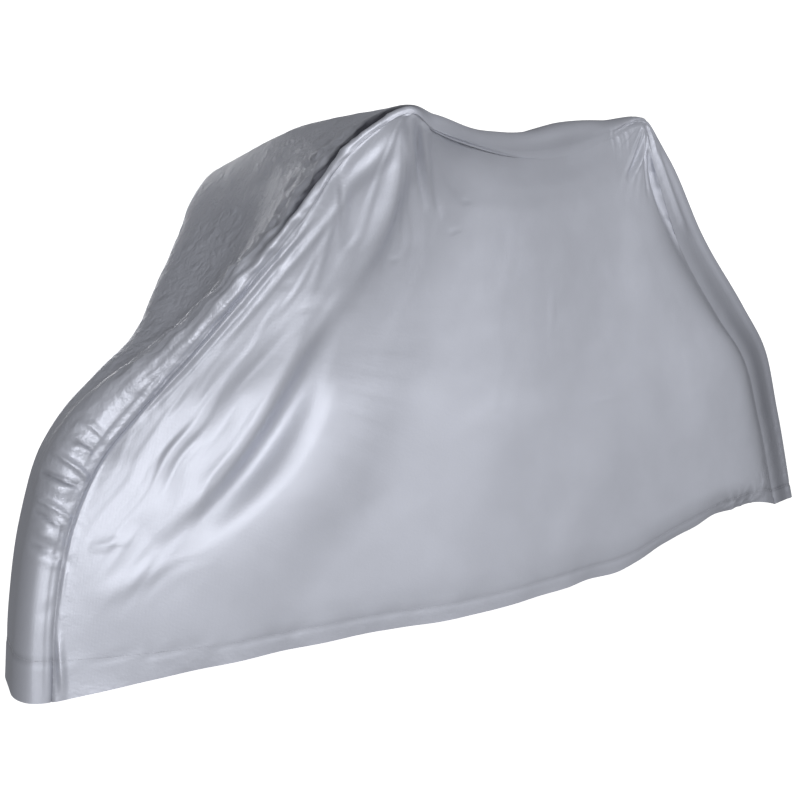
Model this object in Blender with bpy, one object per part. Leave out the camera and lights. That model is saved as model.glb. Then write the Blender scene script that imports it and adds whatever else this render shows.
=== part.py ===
"""A fitted bicycle cover: two side panels sewn to one long centre gusset, hollow and open below.

Lengths are in metres. The tables measure back from the front hub (x), up from the ground (z) and out to
either side from the middle (half). The finished cloth is moved so that the origin is where the saddle
carries it. The front is along -X and the left side is along -Y.
"""

from collections import namedtuple
import math

import bpy
import numpy as np

# Cloth
THICKNESS = 0.002
SEAM_GAP = 0.0003

# Side panels
HEM_BIAS = 1.45  # above 1 draws the panel's upright lines towards the front at the hem
FLARE_FADE = 1.35  # above 1 draws the cloth in faster below the grips
SIDE_REACH = 3  # above 1 keeps the narrow front and rear seams from pinching the middle
HEM_TURN = 0.060  # the hem's edge rolls in over this height
SEAM_FADE = 0.026  # folds die out over this distance from a seam
FAR_STEP = 2  # the far panel is plain, so it keeps every second line of its grid

# One row for each place along the gusset, from the front hem over the top to the rear hem.
# crown: middle line. seam: both edges. half: half the width. lean: how far the left edge is further
# back than the right one, halved. corner: radius between face and flank. hollow: how far the middle
# sinks in. rows: grid rows up to the next place.
Station = namedtuple(
    "Station", "place crown_x crown_z seam_x seam_z half lean corner hollow rows"
)
STATIONS = [
    Station("front hem", -0.364, 0.172, -0.314, 0.167, 0.090, 0.000, 0.055, 0.000, 4),
    Station("front rim", -0.352, 0.300, -0.304, 0.295, 0.092, 0.000, 0.055, 0.000, 5),
    Station("hub height", -0.326, 0.435, -0.275, 0.425, 0.088, 0.000, 0.050, 0.000, 6),
    Station("wheel shoulder", -0.294, 0.532, -0.236, 0.505, 0.083, 0.000, 0.050, 0.000, 4),
    Station("wheel top", -0.252, 0.595, -0.208, 0.543, 0.082, 0.000, 0.048, 0.004, 3),
    Station("neck", -0.205, 0.640, -0.168, 0.590, 0.094, 0.000, 0.045, 0.012, 4),
    Station("lower face", -0.129, 0.700, -0.106, 0.668, 0.135, 0.002, 0.040, 0.022, 4),
    Station("mid face", -0.048, 0.800, -0.026, 0.788, 0.193, 0.016, 0.036, 0.034, 4),
    Station("upper face", 0.020, 0.900, 0.036, 0.884, 0.248, 0.022, 0.026, 0.030, 2),
    Station("below grips", 0.055, 0.955, 0.063, 0.939, 0.280, 0.023, 0.016, 0.018, 2),
    Station("face top", 0.100, 1.004, 0.106, 0.989, 0.308, 0.028, 0.014, -0.002, 2),
    Station("grips", 0.140, 1.031, 0.142, 1.014, 0.328, 0.033, 0.014, -0.018, 7),
    Station("behind grips", 0.222, 1.031, 0.214, 0.996, 0.311, 0.022, 0.022, -0.006, 10),
    Station("swag front", 0.356, 1.032, 0.352, 0.990, 0.250, 0.008, 0.035, 0.000, 8),
    Station("swag low", 0.500, 1.045, 0.498, 0.994, 0.190, 0.000, 0.042, 0.000, 6),
    Station("saddle nose", 0.640, 1.086, 0.640, 1.020, 0.138, 0.000, 0.048, 0.000, 6),
    Station("saddle", 0.780, 1.110, 0.776, 1.068, 0.096, 0.000, 0.042, 0.000, 5),
    Station("saddle back", 0.888, 1.121, 0.877, 1.103, 0.074, 0.000, 0.024, 0.000, 5),
    Station("back slope", 0.964, 1.052, 0.912, 1.018, 0.074, 0.000, 0.035, 0.000, 7),
    Station("mid slope", 1.070, 0.898, 0.988, 0.868, 0.073, 0.000, 0.045, 0.000, 8),
    Station("rack", 1.210, 0.736, 1.120, 0.712, 0.068, 0.000, 0.045, 0.000, 5),
    Station("rack corner", 1.286, 0.640, 1.206, 0.625, 0.064, 0.000, 0.042, 0.000, 6),
    Station("rear wheel", 1.338, 0.485, 1.262, 0.480, 0.062, 0.000, 0.040, 0.000, 9),
    Station("rear hem", 1.392, 0.272, 1.312, 0.268, 0.062, 0.000, 0.040, 0.000, 0),
]
FRONT_TOP = "grips"  # the side panels' upper front corner
REAR_TOP = "saddle back"  # and their upper rear corner, where the saddle carries the cover

# Columns across half of the gusset: share of the flat face, angle round the corner, share of the flank,
# and the share of a pucker's rise that reaches the column.
Column = namedtuple("Column", "flat angle flank pucker")
COLUMNS = [
    Column(0.0, 0, 0.0, 0.0),
    Column(0.5, 0, 0.0, 0.0),
    Column(1.0, 0, 0.0, 0.1),
    Column(1.0, 30, 0.0, 0.5),
    Column(1.0, 60, 0.0, 1.0),
    Column(1.0, 90, 0.0, 0.9),
    Column(1.0, 90, 1.0, 0.0),
]

# The hem of a side panel from front to rear. turn: how far its edge rolls in. low: how much lower the
# right panel hangs there than the left one.
Hem = namedtuple("Hem", "x half z turn low")
HEM = [
    Hem(-0.314, 0.090, 0.167, 0.000, 0.000),
    Hem(-0.105, 0.145, 0.190, 0.002, 0.000),
    Hem(0.153, 0.180, 0.206, 0.006, 0.000),
    Hem(0.359, 0.195, 0.207, 0.006, 0.000),
    Hem(0.592, 0.180, 0.215, 0.008, 0.000),
    Hem(0.760, 0.160, 0.222, 0.012, 0.006),
    Hem(0.917, 0.140, 0.253, 0.024, 0.022),
    Hem(1.080, 0.120, 0.282, 0.026, 0.034),
    Hem(1.240, 0.088, 0.284, 0.014, 0.024),
    Hem(1.312, 0.062, 0.268, 0.000, 0.000),
]

# Folds, each along a bent line seen from the side as (x, z). rise: outwards, so a trough's is negative.
Fold = namedtuple("Fold", "name start middle end width rise")
LEFT_FOLDS = [
    Fold("diagonal trough", (0.066, 0.690), (-0.003, 0.556), (-0.140, 0.415), 0.095, -0.022),
    Fold("upper diagonal ridge", (0.045, 0.730), (-0.060, 0.600), (-0.200, 0.410), 0.080, 0.010),
    Fold("lower diagonal ridge", (0.090, 0.670), (0.022, 0.500), (-0.215, 0.335), 0.120, 0.014),
    Fold("front grip ridge", (0.172, 0.995), (0.150, 0.870), (0.110, 0.740), 0.080, 0.014),
    Fold("rear grip trough", (0.200, 0.990), (0.220, 0.920), (0.240, 0.840), 0.070, -0.010),
    Fold("swag ridge", (0.215, 0.960), (0.540, 0.945), (0.860, 1.055), 0.080, 0.016),
    Fold("saddle trough", (0.888, 1.075), (0.925, 0.960), (1.010, 0.830), 0.070, -0.010),
]
RIGHT_FOLDS = [
    Fold("diagonal trough", (0.030, 0.700), (-0.030, 0.560), (-0.150, 0.430), 0.120, -0.014),
    Fold("grip ridge", (0.105, 0.980), (0.105, 0.860), (0.085, 0.720), 0.100, 0.012),
]
LEFT_PUCKERS = [
    Fold("upper pucker", (-0.290, 0.548), (-0.262, 0.545), (-0.232, 0.530), 0.044, 0.006),
    Fold("middle pucker", (-0.312, 0.490), (-0.286, 0.486), (-0.256, 0.474), 0.044, 0.006),
    Fold("lower pucker", (-0.326, 0.436), (-0.298, 0.430), (-0.272, 0.412), 0.044, 0.006),
]
RIGHT_PUCKERS = [
    Fold("upper pucker", (-0.300, 0.520), (-0.272, 0.514), (-0.246, 0.500), 0.050, 0.005),
    Fold("lower pucker", (-0.324, 0.440), (-0.298, 0.436), (-0.276, 0.424), 0.050, 0.005),
]

CLOTH_COLOURS = {
    "left_panel": (0.60, 0.61, 0.66, 1.0),
    "right_panel": (0.58, 0.59, 0.64, 1.0),
    "centre_gusset": (0.56, 0.57, 0.62, 1.0),
}


def smooth_rows(table, steps):
    """Values between the rows of a table, on smooth curves through every row."""
    values = np.array(table, dtype=float)
    spans = np.linalg.norm(np.diff(values[:, :2], axis=0), axis=1)
    slopes = np.diff(values, axis=0) / spans[:, None]
    tangents = np.empty_like(values)
    tangents[0] = slopes[0]
    tangents[-1] = slopes[-1]
    before = spans[:-1, None]
    after = spans[1:, None]
    tangents[1:-1] = (slopes[:-1] * after + slopes[1:] * before) / (before + after)
    found = []
    for index, count in enumerate(steps):
        for step in range(count):
            t = step / count
            start = values[index] * (1 + 2 * t) + tangents[index] * spans[index] * t
            end = values[index + 1] * (3 - 2 * t) - tangents[index + 1] * spans[index] * (1 - t)
            found.append(start * (1 - t) ** 2 + end * t**2)
    found.append(values[-1])
    return np.array(found)


def unit(vectors):
    """The same vectors at length one."""
    return vectors / np.linalg.norm(vectors, axis=-1, keepdims=True)


def normals(grid):
    """The normal at each point of a grid, on the side where its rows turn towards its columns."""
    return unit(np.cross(np.gradient(grid, axis=0), np.gradient(grid, axis=1)))


def grid_row(place):
    """The gusset's grid row at a named place."""
    names = [station.place for station in STATIONS]
    return sum(station.rows for station in STATIONS[: names.index(place)])


def fold_height(x, z, folds):
    """How far the folds raise the cloth at each point, seen from the side."""
    height = np.zeros_like(x)
    for fold in folds:
        start, middle, end = (np.array(point) for point in (fold.start, fold.middle, fold.end))
        nearest = np.full_like(x, np.inf)
        share = np.zeros_like(x)
        for t in np.linspace(0, 1, 25):
            centre = (1 - t) * (1 - 2 * t) * start + 4 * t * (1 - t) * middle + t * (2 * t - 1) * end
            distance = np.hypot(x - centre[0], z - centre[1])
            closer = distance < nearest
            nearest = np.where(closer, distance, nearest)
            share = np.where(closer, t, share)
        across = np.clip(nearest / (0.5 * fold.width), 0, 1)
        along = np.clip(np.sin(math.pi * share), 0, 1) ** 0.7
        height += fold.rise * along * (0.5 + 0.5 * np.cos(math.pi * across))
    return height


def gusset_grid():
    """The gusset's outer face: a row for each step along it, and columns from the left seam to the right."""
    rows = smooth_rows(
        [station[1:9] for station in STATIONS],
        [station.rows for station in STATIONS[:-1]],
    )
    crown, seam = rows[:, 0:2], rows[:, 2:4]
    half, lean, corner, hollow = rows[:, 4:8].T
    along = unit(np.gradient(crown, axis=0))
    inwards = np.stack([along[:, 1], -along[:, 0]], axis=1)
    drop = np.linalg.norm(seam - crown, axis=1)
    bend = np.minimum(corner, 0.7 * drop) / drop
    columns = [(-1, column) for column in reversed(COLUMNS)]
    columns += [(1, column) for column in COLUMNS[1:]]
    grid = np.empty((len(rows), len(columns), 3))
    for number, (side, column) in enumerate(columns):
        angle = math.radians(column.angle)
        out = (half - corner) * column.flat + corner * math.sin(angle)
        down = bend * (1 - math.cos(angle)) + (1 - bend) * column.flank
        sunk = hollow * np.clip(1 - (out / (half - corner)) ** 2, 0, 1) ** 2
        point = crown + (seam - crown) * down[:, None] + inwards * sunk[:, None]
        grid[:, number, 0] = point[:, 0] - lean * side * out / half
        grid[:, number, 1] = side * out
        grid[:, number, 2] = point[:, 1]
    faces = normals(grid)
    for number, (side, column) in enumerate(columns):
        puckers = LEFT_PUCKERS if side < 0 else RIGHT_PUCKERS
        height = column.pucker * fold_height(grid[:, number, 0], grid[:, number, 2], puckers)
        grid[:, number] += height[:, None] * faces[:, number]
    return grid


def panel_grid(edge, side, folds):
    """A side panel's outer face, stretched from the gusset's edge to the hem. side: -1 left, 1 right."""
    first = grid_row(FRONT_TOP)
    last = grid_row(REAR_TOP)
    front = edge[first::-1]
    top = edge[first : last + 1]
    rear = edge[last:]
    table = [(hem.x, hem.z, hem.half, hem.turn, hem.low) for hem in HEM]
    fine = smooth_rows(table, [40] * (len(HEM) - 1))
    length = np.concatenate([[0], np.cumsum(np.linalg.norm(np.diff(fine[:, :2], axis=0), axis=1))])
    wanted = length[-1] * np.linspace(0, 1, len(top)) ** HEM_BIAS
    x, z, half, turn, low = (np.interp(wanted, length, values) for values in fine.T)
    bottom = np.stack([x, side * half, z - (low if side > 0 else 0)], axis=1)
    bottom[0] = front[-1]
    bottom[-1] = rear[-1]

    u = np.linspace(0, 1, len(top))[:, None]
    v = np.linspace(0, 1, len(front))[None, :]
    grid = np.empty((len(top), len(front), 3))
    for axis, side_reach, fade in ((0, 1, 1), (1, SIDE_REACH, FLARE_FADE), (2, 1, 1)):
        share = (1 - v) ** fade
        middle = share * top[:, None, axis] + (1 - share) * bottom[:, None, axis]
        at_front = front[None, :, axis] - share * top[0, axis] - (1 - share) * bottom[0, axis]
        at_rear = rear[None, :, axis] - share * top[-1, axis] - (1 - share) * bottom[-1, axis]
        grid[:, :, axis] = middle + (1 - u) ** side_reach * at_front + u**side_reach * at_rear

    height = np.linalg.norm(top - bottom, axis=1)[:, None]
    from_seam = np.minimum(v * height, np.minimum(u, 1 - u) * length[-1])
    fade = np.clip(from_seam / SEAM_FADE, 0, 1)
    raised = fade * fade * (3 - 2 * fade) * fold_height(grid[:, :, 0], grid[:, :, 2], folds)
    rolled = turn[:, None] * np.clip(1 - (1 - v) * height / HEM_TURN, 0, 1) ** 2
    grid[:, :, 1] += side * (raised - rolled)
    return grid


def seam_line(panel):
    """A panel's grid values along the gusset's edge, from the front hem to the rear hem."""
    return np.concatenate([panel[0, :0:-1], panel[:, 0], panel[-1, 1:]])


def put_seam_line(panel, values):
    """Set a panel's grid values along the gusset's edge."""
    width, height = panel.shape[:2]
    panel[0, ::-1] = values[:height]
    panel[:, 0] = values[height - 1 : height - 1 + width]
    panel[-1] = values[-height:]


def pull_back(seam, inner_line):
    """Half of the seam's gap at each point, away from the seam and square to it."""
    along = unit(np.gradient(seam, axis=0))
    away = inner_line - seam
    away -= np.sum(away * along, axis=1, keepdims=True) * along
    return unit(away) * SEAM_GAP / 2


def grid_faces(width, height, step):
    """Triangles over a grid and the loop round its border. Inside, only every step-th line is kept."""
    across = sorted(set(range(0, width, step)) | {width - 1})
    down = sorted(set(range(0, height, step)) | {height - 1})
    triangles = []
    for left, right in zip(across, across[1:]):
        for upper, lower in zip(down, down[1:]):
            loop = [(i, upper) for i in (range(left, right) if upper == 0 else [left])]
            loop += [(right, j) for j in (range(upper, lower) if right == width - 1 else [upper])]
            loop += [(i, lower) for i in (range(right, left, -1) if lower == height - 1 else [right])]
            loop += [(left, j) for j in (range(lower, upper, -1) if left == 0 else [lower])]
            apex = (left if right == width - 1 else right, lower if upper == 0 else upper)
            turn = loop.index(apex)
            fan = loop[turn:] + loop[:turn]
            triangles += [(apex, fan[k], fan[k + 1]) for k in range(1, len(fan) - 1)]
    border = [(i, 0) for i in range(width - 1)]
    border += [(width - 1, j) for j in range(height - 1)]
    border += [(i, height - 1) for i in range(width - 1, 0, -1)]
    border += [(0, j) for j in range(height - 1, 0, -1)]
    return triangles, border


def add_cloth(name, outer, inner, step, flip):
    """One closed sheet of cloth between an outer and an inner grid, with its own material."""
    triangles, border = grid_faces(outer.shape[0], outer.shape[1], step)
    used = sorted({corner for triangle in triangles for corner in triangle})
    place = {corner: number for number, corner in enumerate(used)}
    count = len(used)
    points = [outer[corner] for corner in used] + [inner[corner] for corner in used]
    faces = []
    for a, b, c in triangles:
        faces.append((place[a], place[b], place[c]))
        faces.append((place[c] + count, place[b] + count, place[a] + count))
    for a, b in zip(border, border[1:] + border[:1]):
        faces.append((place[a], place[a] + count, place[b] + count))
        faces.append((place[a], place[b] + count, place[b]))
    if flip:
        faces = [face[::-1] for face in faces]
    mesh = bpy.data.meshes.new(name)
    mesh.from_pydata([tuple(point) for point in points], [], faces)
    material = bpy.data.materials.new(name)
    material.use_nodes = True
    shader = material.node_tree.nodes["Principled BSDF"]
    shader.inputs["Base Color"].default_value = CLOTH_COLOURS[name]
    shader.inputs["Roughness"].default_value = 0.38
    mesh.materials.append(material)
    cloth = bpy.data.objects.new(name, mesh)
    bpy.context.scene.collection.objects.link(cloth)
    return cloth


def main():
    """Cut the gusset and both side panels, mitre them along their seams and give them their thickness."""
    for thing in list(bpy.data.objects):
        bpy.data.objects.remove(thing)

    gusset = gusset_grid()
    gusset_out = normals(gusset)
    gusset_inner = gusset - THICKNESS * gusset_out
    saddle_point = gusset_inner[grid_row(REAR_TOP), gusset.shape[1] // 2].copy()

    for name, side, folds, step in (
        ("left_panel", -1, LEFT_FOLDS, 1),
        ("right_panel", 1, RIGHT_FOLDS, FAR_STEP),
    ):
        column, next_column = (0, 1) if side < 0 else (-1, -2)
        seam = gusset[:, column].copy()
        panel = panel_grid(seam, side, folds)
        panel_out = side * normals(panel)
        panel_inner = panel - THICKNESS * panel_out

        # Both sheets end on the plane that halves the angle between them.
        mitre = unit(gusset_out[:, column] + seam_line(panel_out))
        square = np.sum(mitre * gusset_out[:, column], axis=1, keepdims=True)
        seam_inner = seam - THICKNESS * mitre / square
        inner_column = seam_line(np.pad(panel[1:-1, 1:-1], ((1, 1), (1, 1), (0, 0)), mode="edge"))
        panel_gap = pull_back(seam, inner_column)
        gusset_gap = pull_back(seam, gusset[:, next_column])
        put_seam_line(panel, seam + panel_gap)
        put_seam_line(panel_inner, seam_inner + panel_gap)
        gusset[:, column] = seam + gusset_gap
        gusset_inner[:, column] = seam_inner + gusset_gap
        add_cloth(name, panel - saddle_point, panel_inner - saddle_point, step, flip=side < 0)

    add_cloth("centre_gusset", gusset - saddle_point, gusset_inner - saddle_point, 1, flip=False)


if __name__ == "__main__":
    main()
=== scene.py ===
"""Looks of a fitted bicycle cover: coated cloth in two side panels and a long centre gusset.

Lengths are in metres. The tables measure back from the front hub (x), up from the ground (z) and out to
either side from the middle (half). The finished cloth is moved so that the origin is where the saddle
carries it. The front is along -X and the left side is along -Y.
"""

from collections import namedtuple
import functools
import math

import bpy
from bpy.props import FloatProperty, FloatVectorProperty, PointerProperty
from mathutils import Matrix, Vector
import numpy as np


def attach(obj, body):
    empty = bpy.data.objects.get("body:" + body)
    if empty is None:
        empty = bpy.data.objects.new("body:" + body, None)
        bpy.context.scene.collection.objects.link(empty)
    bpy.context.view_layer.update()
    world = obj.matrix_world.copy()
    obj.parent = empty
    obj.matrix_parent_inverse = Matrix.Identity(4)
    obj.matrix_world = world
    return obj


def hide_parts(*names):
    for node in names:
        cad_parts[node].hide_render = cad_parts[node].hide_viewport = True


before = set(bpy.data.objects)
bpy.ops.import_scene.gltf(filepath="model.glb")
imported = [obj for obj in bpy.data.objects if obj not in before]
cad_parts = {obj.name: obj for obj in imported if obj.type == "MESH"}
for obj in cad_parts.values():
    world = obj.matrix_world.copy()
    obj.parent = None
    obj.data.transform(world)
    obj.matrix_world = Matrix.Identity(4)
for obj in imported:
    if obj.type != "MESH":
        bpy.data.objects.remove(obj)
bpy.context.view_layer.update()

bl_info = {
    "name": "Fitted bicycle cover",
    "version": (1, 0, 0),
    "blender": (4, 5, 0),
    "location": "View3D > Sidebar > Cover",
    "description": "Makes the cloth, the stitching and the studio of a fitted bicycle cover",
    "category": "Object",
}

SADDLE = np.array([0.8874, 0.0, 1.1191])  # where the saddle carries the cloth

# The main forms. They follow the solids, so that the cloth lies on them; the left panel's folds are finer.
HEM_BIAS = 1.45  # above 1 crowds the hem's lines towards the front
HEM_STEPS = 40  # steps of the hem's curve between two rows of its table
FLARE_FADE = 1.35  # above 1 brings a panel out to its hem's width higher up
SIDE_REACH = 3  # above 1 keeps the curve of the front and rear seams close to them
HEM_TURN = 0.060  # height of the band in which the lower edge rolls in
SEAM_FADE = 0.026  # distance from a seam over which the folds grow to their full height

# The gusset, place by place: its middle and its seams seen from the side, half its width, how far back
# its left edge lies, the reach of its rounded corner, how far its middle is sunk, and the rows to the
# next place.
Station = namedtuple("Station", "place crown_x crown_z seam_x seam_z half lean corner hollow rows")
STATIONS = [
    Station("front hem", -0.364, 0.172, -0.314, 0.167, 0.090, 0.000, 0.055, 0.000, 4),
    Station("front rim", -0.352, 0.300, -0.304, 0.295, 0.092, 0.000, 0.055, 0.000, 5),
    Station("hub height", -0.326, 0.435, -0.275, 0.425, 0.088, 0.000, 0.050, 0.000, 6),
    Station("wheel shoulder", -0.294, 0.532, -0.236, 0.505, 0.083, 0.000, 0.050, 0.000, 4),
    Station("wheel top", -0.252, 0.595, -0.208, 0.543, 0.082, 0.000, 0.048, 0.004, 3),
    Station("neck", -0.205, 0.640, -0.168, 0.590, 0.094, 0.000, 0.045, 0.012, 4),
    Station("lower face", -0.129, 0.700, -0.106, 0.668, 0.135, 0.002, 0.040, 0.022, 4),
    Station("mid face", -0.048, 0.800, -0.026, 0.788, 0.193, 0.016, 0.036, 0.034, 4),
    Station("upper face", 0.020, 0.900, 0.036, 0.884, 0.248, 0.022, 0.026, 0.030, 2),
    Station("below grips", 0.055, 0.955, 0.063, 0.939, 0.280, 0.023, 0.016, 0.018, 2),
    Station("face top", 0.100, 1.004, 0.106, 0.989, 0.308, 0.028, 0.014, -0.002, 2),
    Station("grips", 0.140, 1.031, 0.142, 1.014, 0.328, 0.033, 0.014, -0.018, 7),
    Station("behind grips", 0.222, 1.031, 0.214, 0.996, 0.311, 0.022, 0.022, -0.006, 10),
    Station("swag front", 0.356, 1.032, 0.352, 0.990, 0.250, 0.008, 0.035, 0.000, 8),
    Station("swag low", 0.500, 1.045, 0.498, 0.994, 0.190, 0.000, 0.042, 0.000, 6),
    Station("saddle nose", 0.640, 1.086, 0.640, 1.020, 0.138, 0.000, 0.048, 0.000, 6),
    Station("saddle", 0.780, 1.110, 0.776, 1.068, 0.096, 0.000, 0.042, 0.000, 5),
    Station("saddle back", 0.888, 1.121, 0.877, 1.103, 0.074, 0.000, 0.024, 0.000, 5),
    Station("back slope", 0.964, 1.052, 0.912, 1.018, 0.074, 0.000, 0.035, 0.000, 7),
    Station("mid slope", 1.070, 0.898, 0.988, 0.868, 0.073, 0.000, 0.045, 0.000, 8),
    Station("rack", 1.210, 0.736, 1.120, 0.712, 0.068, 0.000, 0.045, 0.000, 5),
    Station("rack corner", 1.286, 0.640, 1.206, 0.625, 0.064, 0.000, 0.042, 0.000, 6),
    Station("rear wheel", 1.338, 0.485, 1.262, 0.480, 0.062, 0.000, 0.040, 0.000, 9),
    Station("rear hem", 1.392, 0.272, 1.312, 0.268, 0.062, 0.000, 0.040, 0.000, 0),
]
FRONT_TOP = "grips"
REAR_TOP = "saddle back"

# half: distance from the middle. turn: how far the edge rolls in. low: how much lower the right panel
# hangs. turned: depth of the sewn hem.
Hem = namedtuple("Hem", "x half z turn low turned")
HEM = [
    Hem(-0.314, 0.090, 0.167, 0.000, 0.000, 0.062),
    Hem(-0.105, 0.145, 0.190, 0.002, 0.000, 0.036),
    Hem(0.153, 0.180, 0.206, 0.006, 0.000, 0.030),
    Hem(0.359, 0.195, 0.207, 0.006, 0.000, 0.028),
    Hem(0.592, 0.180, 0.215, 0.008, 0.000, 0.028),
    Hem(0.760, 0.160, 0.222, 0.012, 0.006, 0.028),
    Hem(0.917, 0.140, 0.253, 0.024, 0.022, 0.030),
    Hem(1.080, 0.120, 0.282, 0.026, 0.034, 0.032),
    Hem(1.240, 0.088, 0.284, 0.014, 0.024, 0.032),
    Hem(1.312, 0.062, 0.268, 0.000, 0.000, 0.034),
]

# Folds, each along a bent line seen from the side as (x, z). rise: outwards, so a trough's is negative.
# sharp: 1 for a soft fold, more for a narrow crest. back: width on the right of the line's way, when it
# isn't as wide there as on the left.
Fold = namedtuple("Fold", "name start middle end width rise sharp back", defaults=(1, None))
LEFT_FOLDS = [
    Fold("diagonal hollow", (0.110, 0.760), (0.030, 0.540), (-0.130, 0.370), 0.300, -0.010),
    Fold("upper diagonal ridge", (0.085, 0.760), (0.000, 0.567), (-0.165, 0.400), 0.060, 0.013, 1, 0.110),
    Fold("diagonal trough", (0.100, 0.740), (0.026, 0.548), (-0.110, 0.408), 0.072, -0.012),
    Fold("lower diagonal ridge", (0.140, 0.740), (0.066, 0.500), (-0.195, 0.305), 0.320, 0.014, 1, 0.110),
    Fold("front grip ridge", (0.172, 0.995), (0.150, 0.870), (0.110, 0.740), 0.080, 0.009),
    Fold("rear grip trough", (0.200, 0.990), (0.220, 0.920), (0.240, 0.840), 0.070, -0.003),
    Fold("swag ridge", (0.215, 0.960), (0.540, 0.945), (0.860, 1.055), 0.080, 0.003),
    Fold("belly", (0.280, 0.800), (0.560, 0.780), (0.960, 0.790), 0.520, 0.010),
    Fold("saddle trough", (0.888, 1.075), (0.925, 0.960), (1.010, 0.830), 0.070, -0.010),
]
RIGHT_FOLDS = [
    Fold("diagonal trough", (0.030, 0.700), (-0.030, 0.560), (-0.150, 0.430), 0.120, -0.014),
    Fold("grip ridge", (0.105, 0.980), (0.105, 0.860), (0.085, 0.720), 0.100, 0.012),
]
LEFT_PUCKERS = [
    Fold("upper pucker", (-0.290, 0.548), (-0.262, 0.545), (-0.232, 0.530), 0.044, 0.006),
    Fold("middle pucker", (-0.312, 0.490), (-0.286, 0.486), (-0.256, 0.474), 0.044, 0.006),
    Fold("lower pucker", (-0.326, 0.436), (-0.298, 0.430), (-0.272, 0.412), 0.044, 0.006),
]
RIGHT_PUCKERS = [
    Fold("upper pucker", (-0.300, 0.520), (-0.272, 0.514), (-0.246, 0.500), 0.050, 0.005),
    Fold("lower pucker", (-0.324, 0.440), (-0.298, 0.436), (-0.276, 0.424), 0.050, 0.005),
]

# Finer creases, which only the cloth carries.
LEFT_CREASES = [
    Fold("high diagonal crease", (0.030, 0.730), (-0.075, 0.600), (-0.210, 0.430), 0.044, 0.0026, 1.2, 0.030),
    Fold("trough edge", (0.058, 0.700), (-0.012, 0.572), (-0.110, 0.462), 0.030, 0.0012, 1.2, 0.024),
    Fold("upper streak", (-0.030, 0.720), (-0.120, 0.600), (-0.190, 0.500), 0.026, 0.0012, 1.2, 0.018),
    Fold("low crease tail", (-0.110, 0.385), (-0.190, 0.343), (-0.262, 0.312), 0.050, 0.0020, 1.2),
    Fold("front low swell", (-0.250, 0.470), (-0.225, 0.330), (-0.235, 0.180), 0.150, 0.0040),
    Fold("main grip crease", (0.182, 0.990), (0.170, 0.890), (0.138, 0.758), 0.100, 0.0150, 1.1, 0.046),
    Fold("upper grip crease", (0.170, 0.988), (0.134, 0.947), (0.096, 0.906), 0.050, 0.0050, 1.1, 0.036),
    Fold("front grip crease", (0.086, 0.955), (0.102, 0.890), (0.113, 0.820), 0.036, 0.0050, 1.2, 0.020),
    Fold("small grip crease", (0.092, 0.890), (0.083, 0.825), (0.070, 0.760), 0.022, 0.0032, 1.2),
    Fold("lower grip crease", (0.130, 0.778), (0.094, 0.722), (0.066, 0.664), 0.060, 0.0028, 1.1, 0.036),
    Fold("grip column", (0.174, 1.022), (0.191, 0.989), (0.224, 0.926), 0.034, 0.0060, 1.2, 0.026),
    Fold("grip groove", (0.194, 1.004), (0.226, 0.954), (0.257, 0.890), 0.018, -0.0060, 1.2),
    Fold("rear grip crease", (0.200, 1.012), (0.233, 0.965), (0.277, 0.894), 0.044, 0.0060, 1.2, 0.020),
    Fold("far grip groove", (0.222, 1.010), (0.262, 0.935), (0.292, 0.880), 0.020, -0.0030, 1.2),
    Fold("last grip crease", (0.236, 1.000), (0.290, 0.945), (0.345, 0.905), 0.026, 0.0026, 1.2),
    Fold("front saddle pleat", (0.876, 1.090), (0.846, 1.030), (0.806, 0.985), 0.026, -0.0075, 1.2),
    Fold("middle saddle pleat", (0.886, 1.094), (0.880, 1.030), (0.870, 0.955), 0.018, -0.0060, 1.2),
    Fold("rear saddle pleat", (0.893, 1.080), (0.908, 0.990), (0.950, 0.890), 0.022, -0.0060, 1.2),
    Fold("saddle crease", (0.882, 1.088), (0.864, 1.040), (0.840, 1.000), 0.016, 0.0040, 1.2),
    Fold("front corner crease", (-0.252, 0.395), (-0.228, 0.397), (-0.190, 0.403), 0.016, 0.0030, 1.2),
    Fold("front edge fold", (-0.300, 0.371), (-0.286, 0.373), (-0.266, 0.380), 0.010, -0.0035, 1.2),
    Fold("front hem fold", (-0.303, 0.270), (-0.299, 0.220), (-0.299, 0.167), 0.022, 0.0060, 1.4),
]
RIGHT_CREASES = [
    Fold("diagonal crease", (0.020, 0.690), (-0.080, 0.560), (-0.190, 0.430), 0.040, 0.0035, 1.5),
    Fold("low diagonal crease", (0.070, 0.640), (0.010, 0.500), (-0.150, 0.370), 0.044, 0.0030, 1.5),
    Fold("main grip crease", (0.120, 0.985), (0.118, 0.880), (0.100, 0.760), 0.034, 0.0060, 1.6),
    Fold("rear grip groove", (0.150, 1.000), (0.176, 0.930), (0.200, 0.860), 0.024, -0.0050, 1.4),
    Fold("rear grip crease", (0.170, 0.995), (0.204, 0.920), (0.236, 0.850), 0.026, 0.0040, 1.4),
    Fold("front saddle pleat", (0.878, 1.085), (0.846, 1.026), (0.806, 0.975), 0.024, -0.0055, 1.4),
    Fold("rear saddle pleat", (0.892, 1.080), (0.908, 0.990), (0.950, 0.890), 0.020, -0.0050, 1.4),
]
# Fine creases that spread from a point, between two angles in degrees. peak: from the point to where
# they are highest. reach: how far they fade beyond it.
Fan = namedtuple("Fan", "x z first last pitch peak reach height")
FANS = [
    Fan(0.181, 1.050, -128, -62, 6.5, 0.100, 0.140, 0.0030),
    Fan(0.889, 1.128, -150, -60, 8.0, 0.060, 0.090, 0.0026),
]
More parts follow.
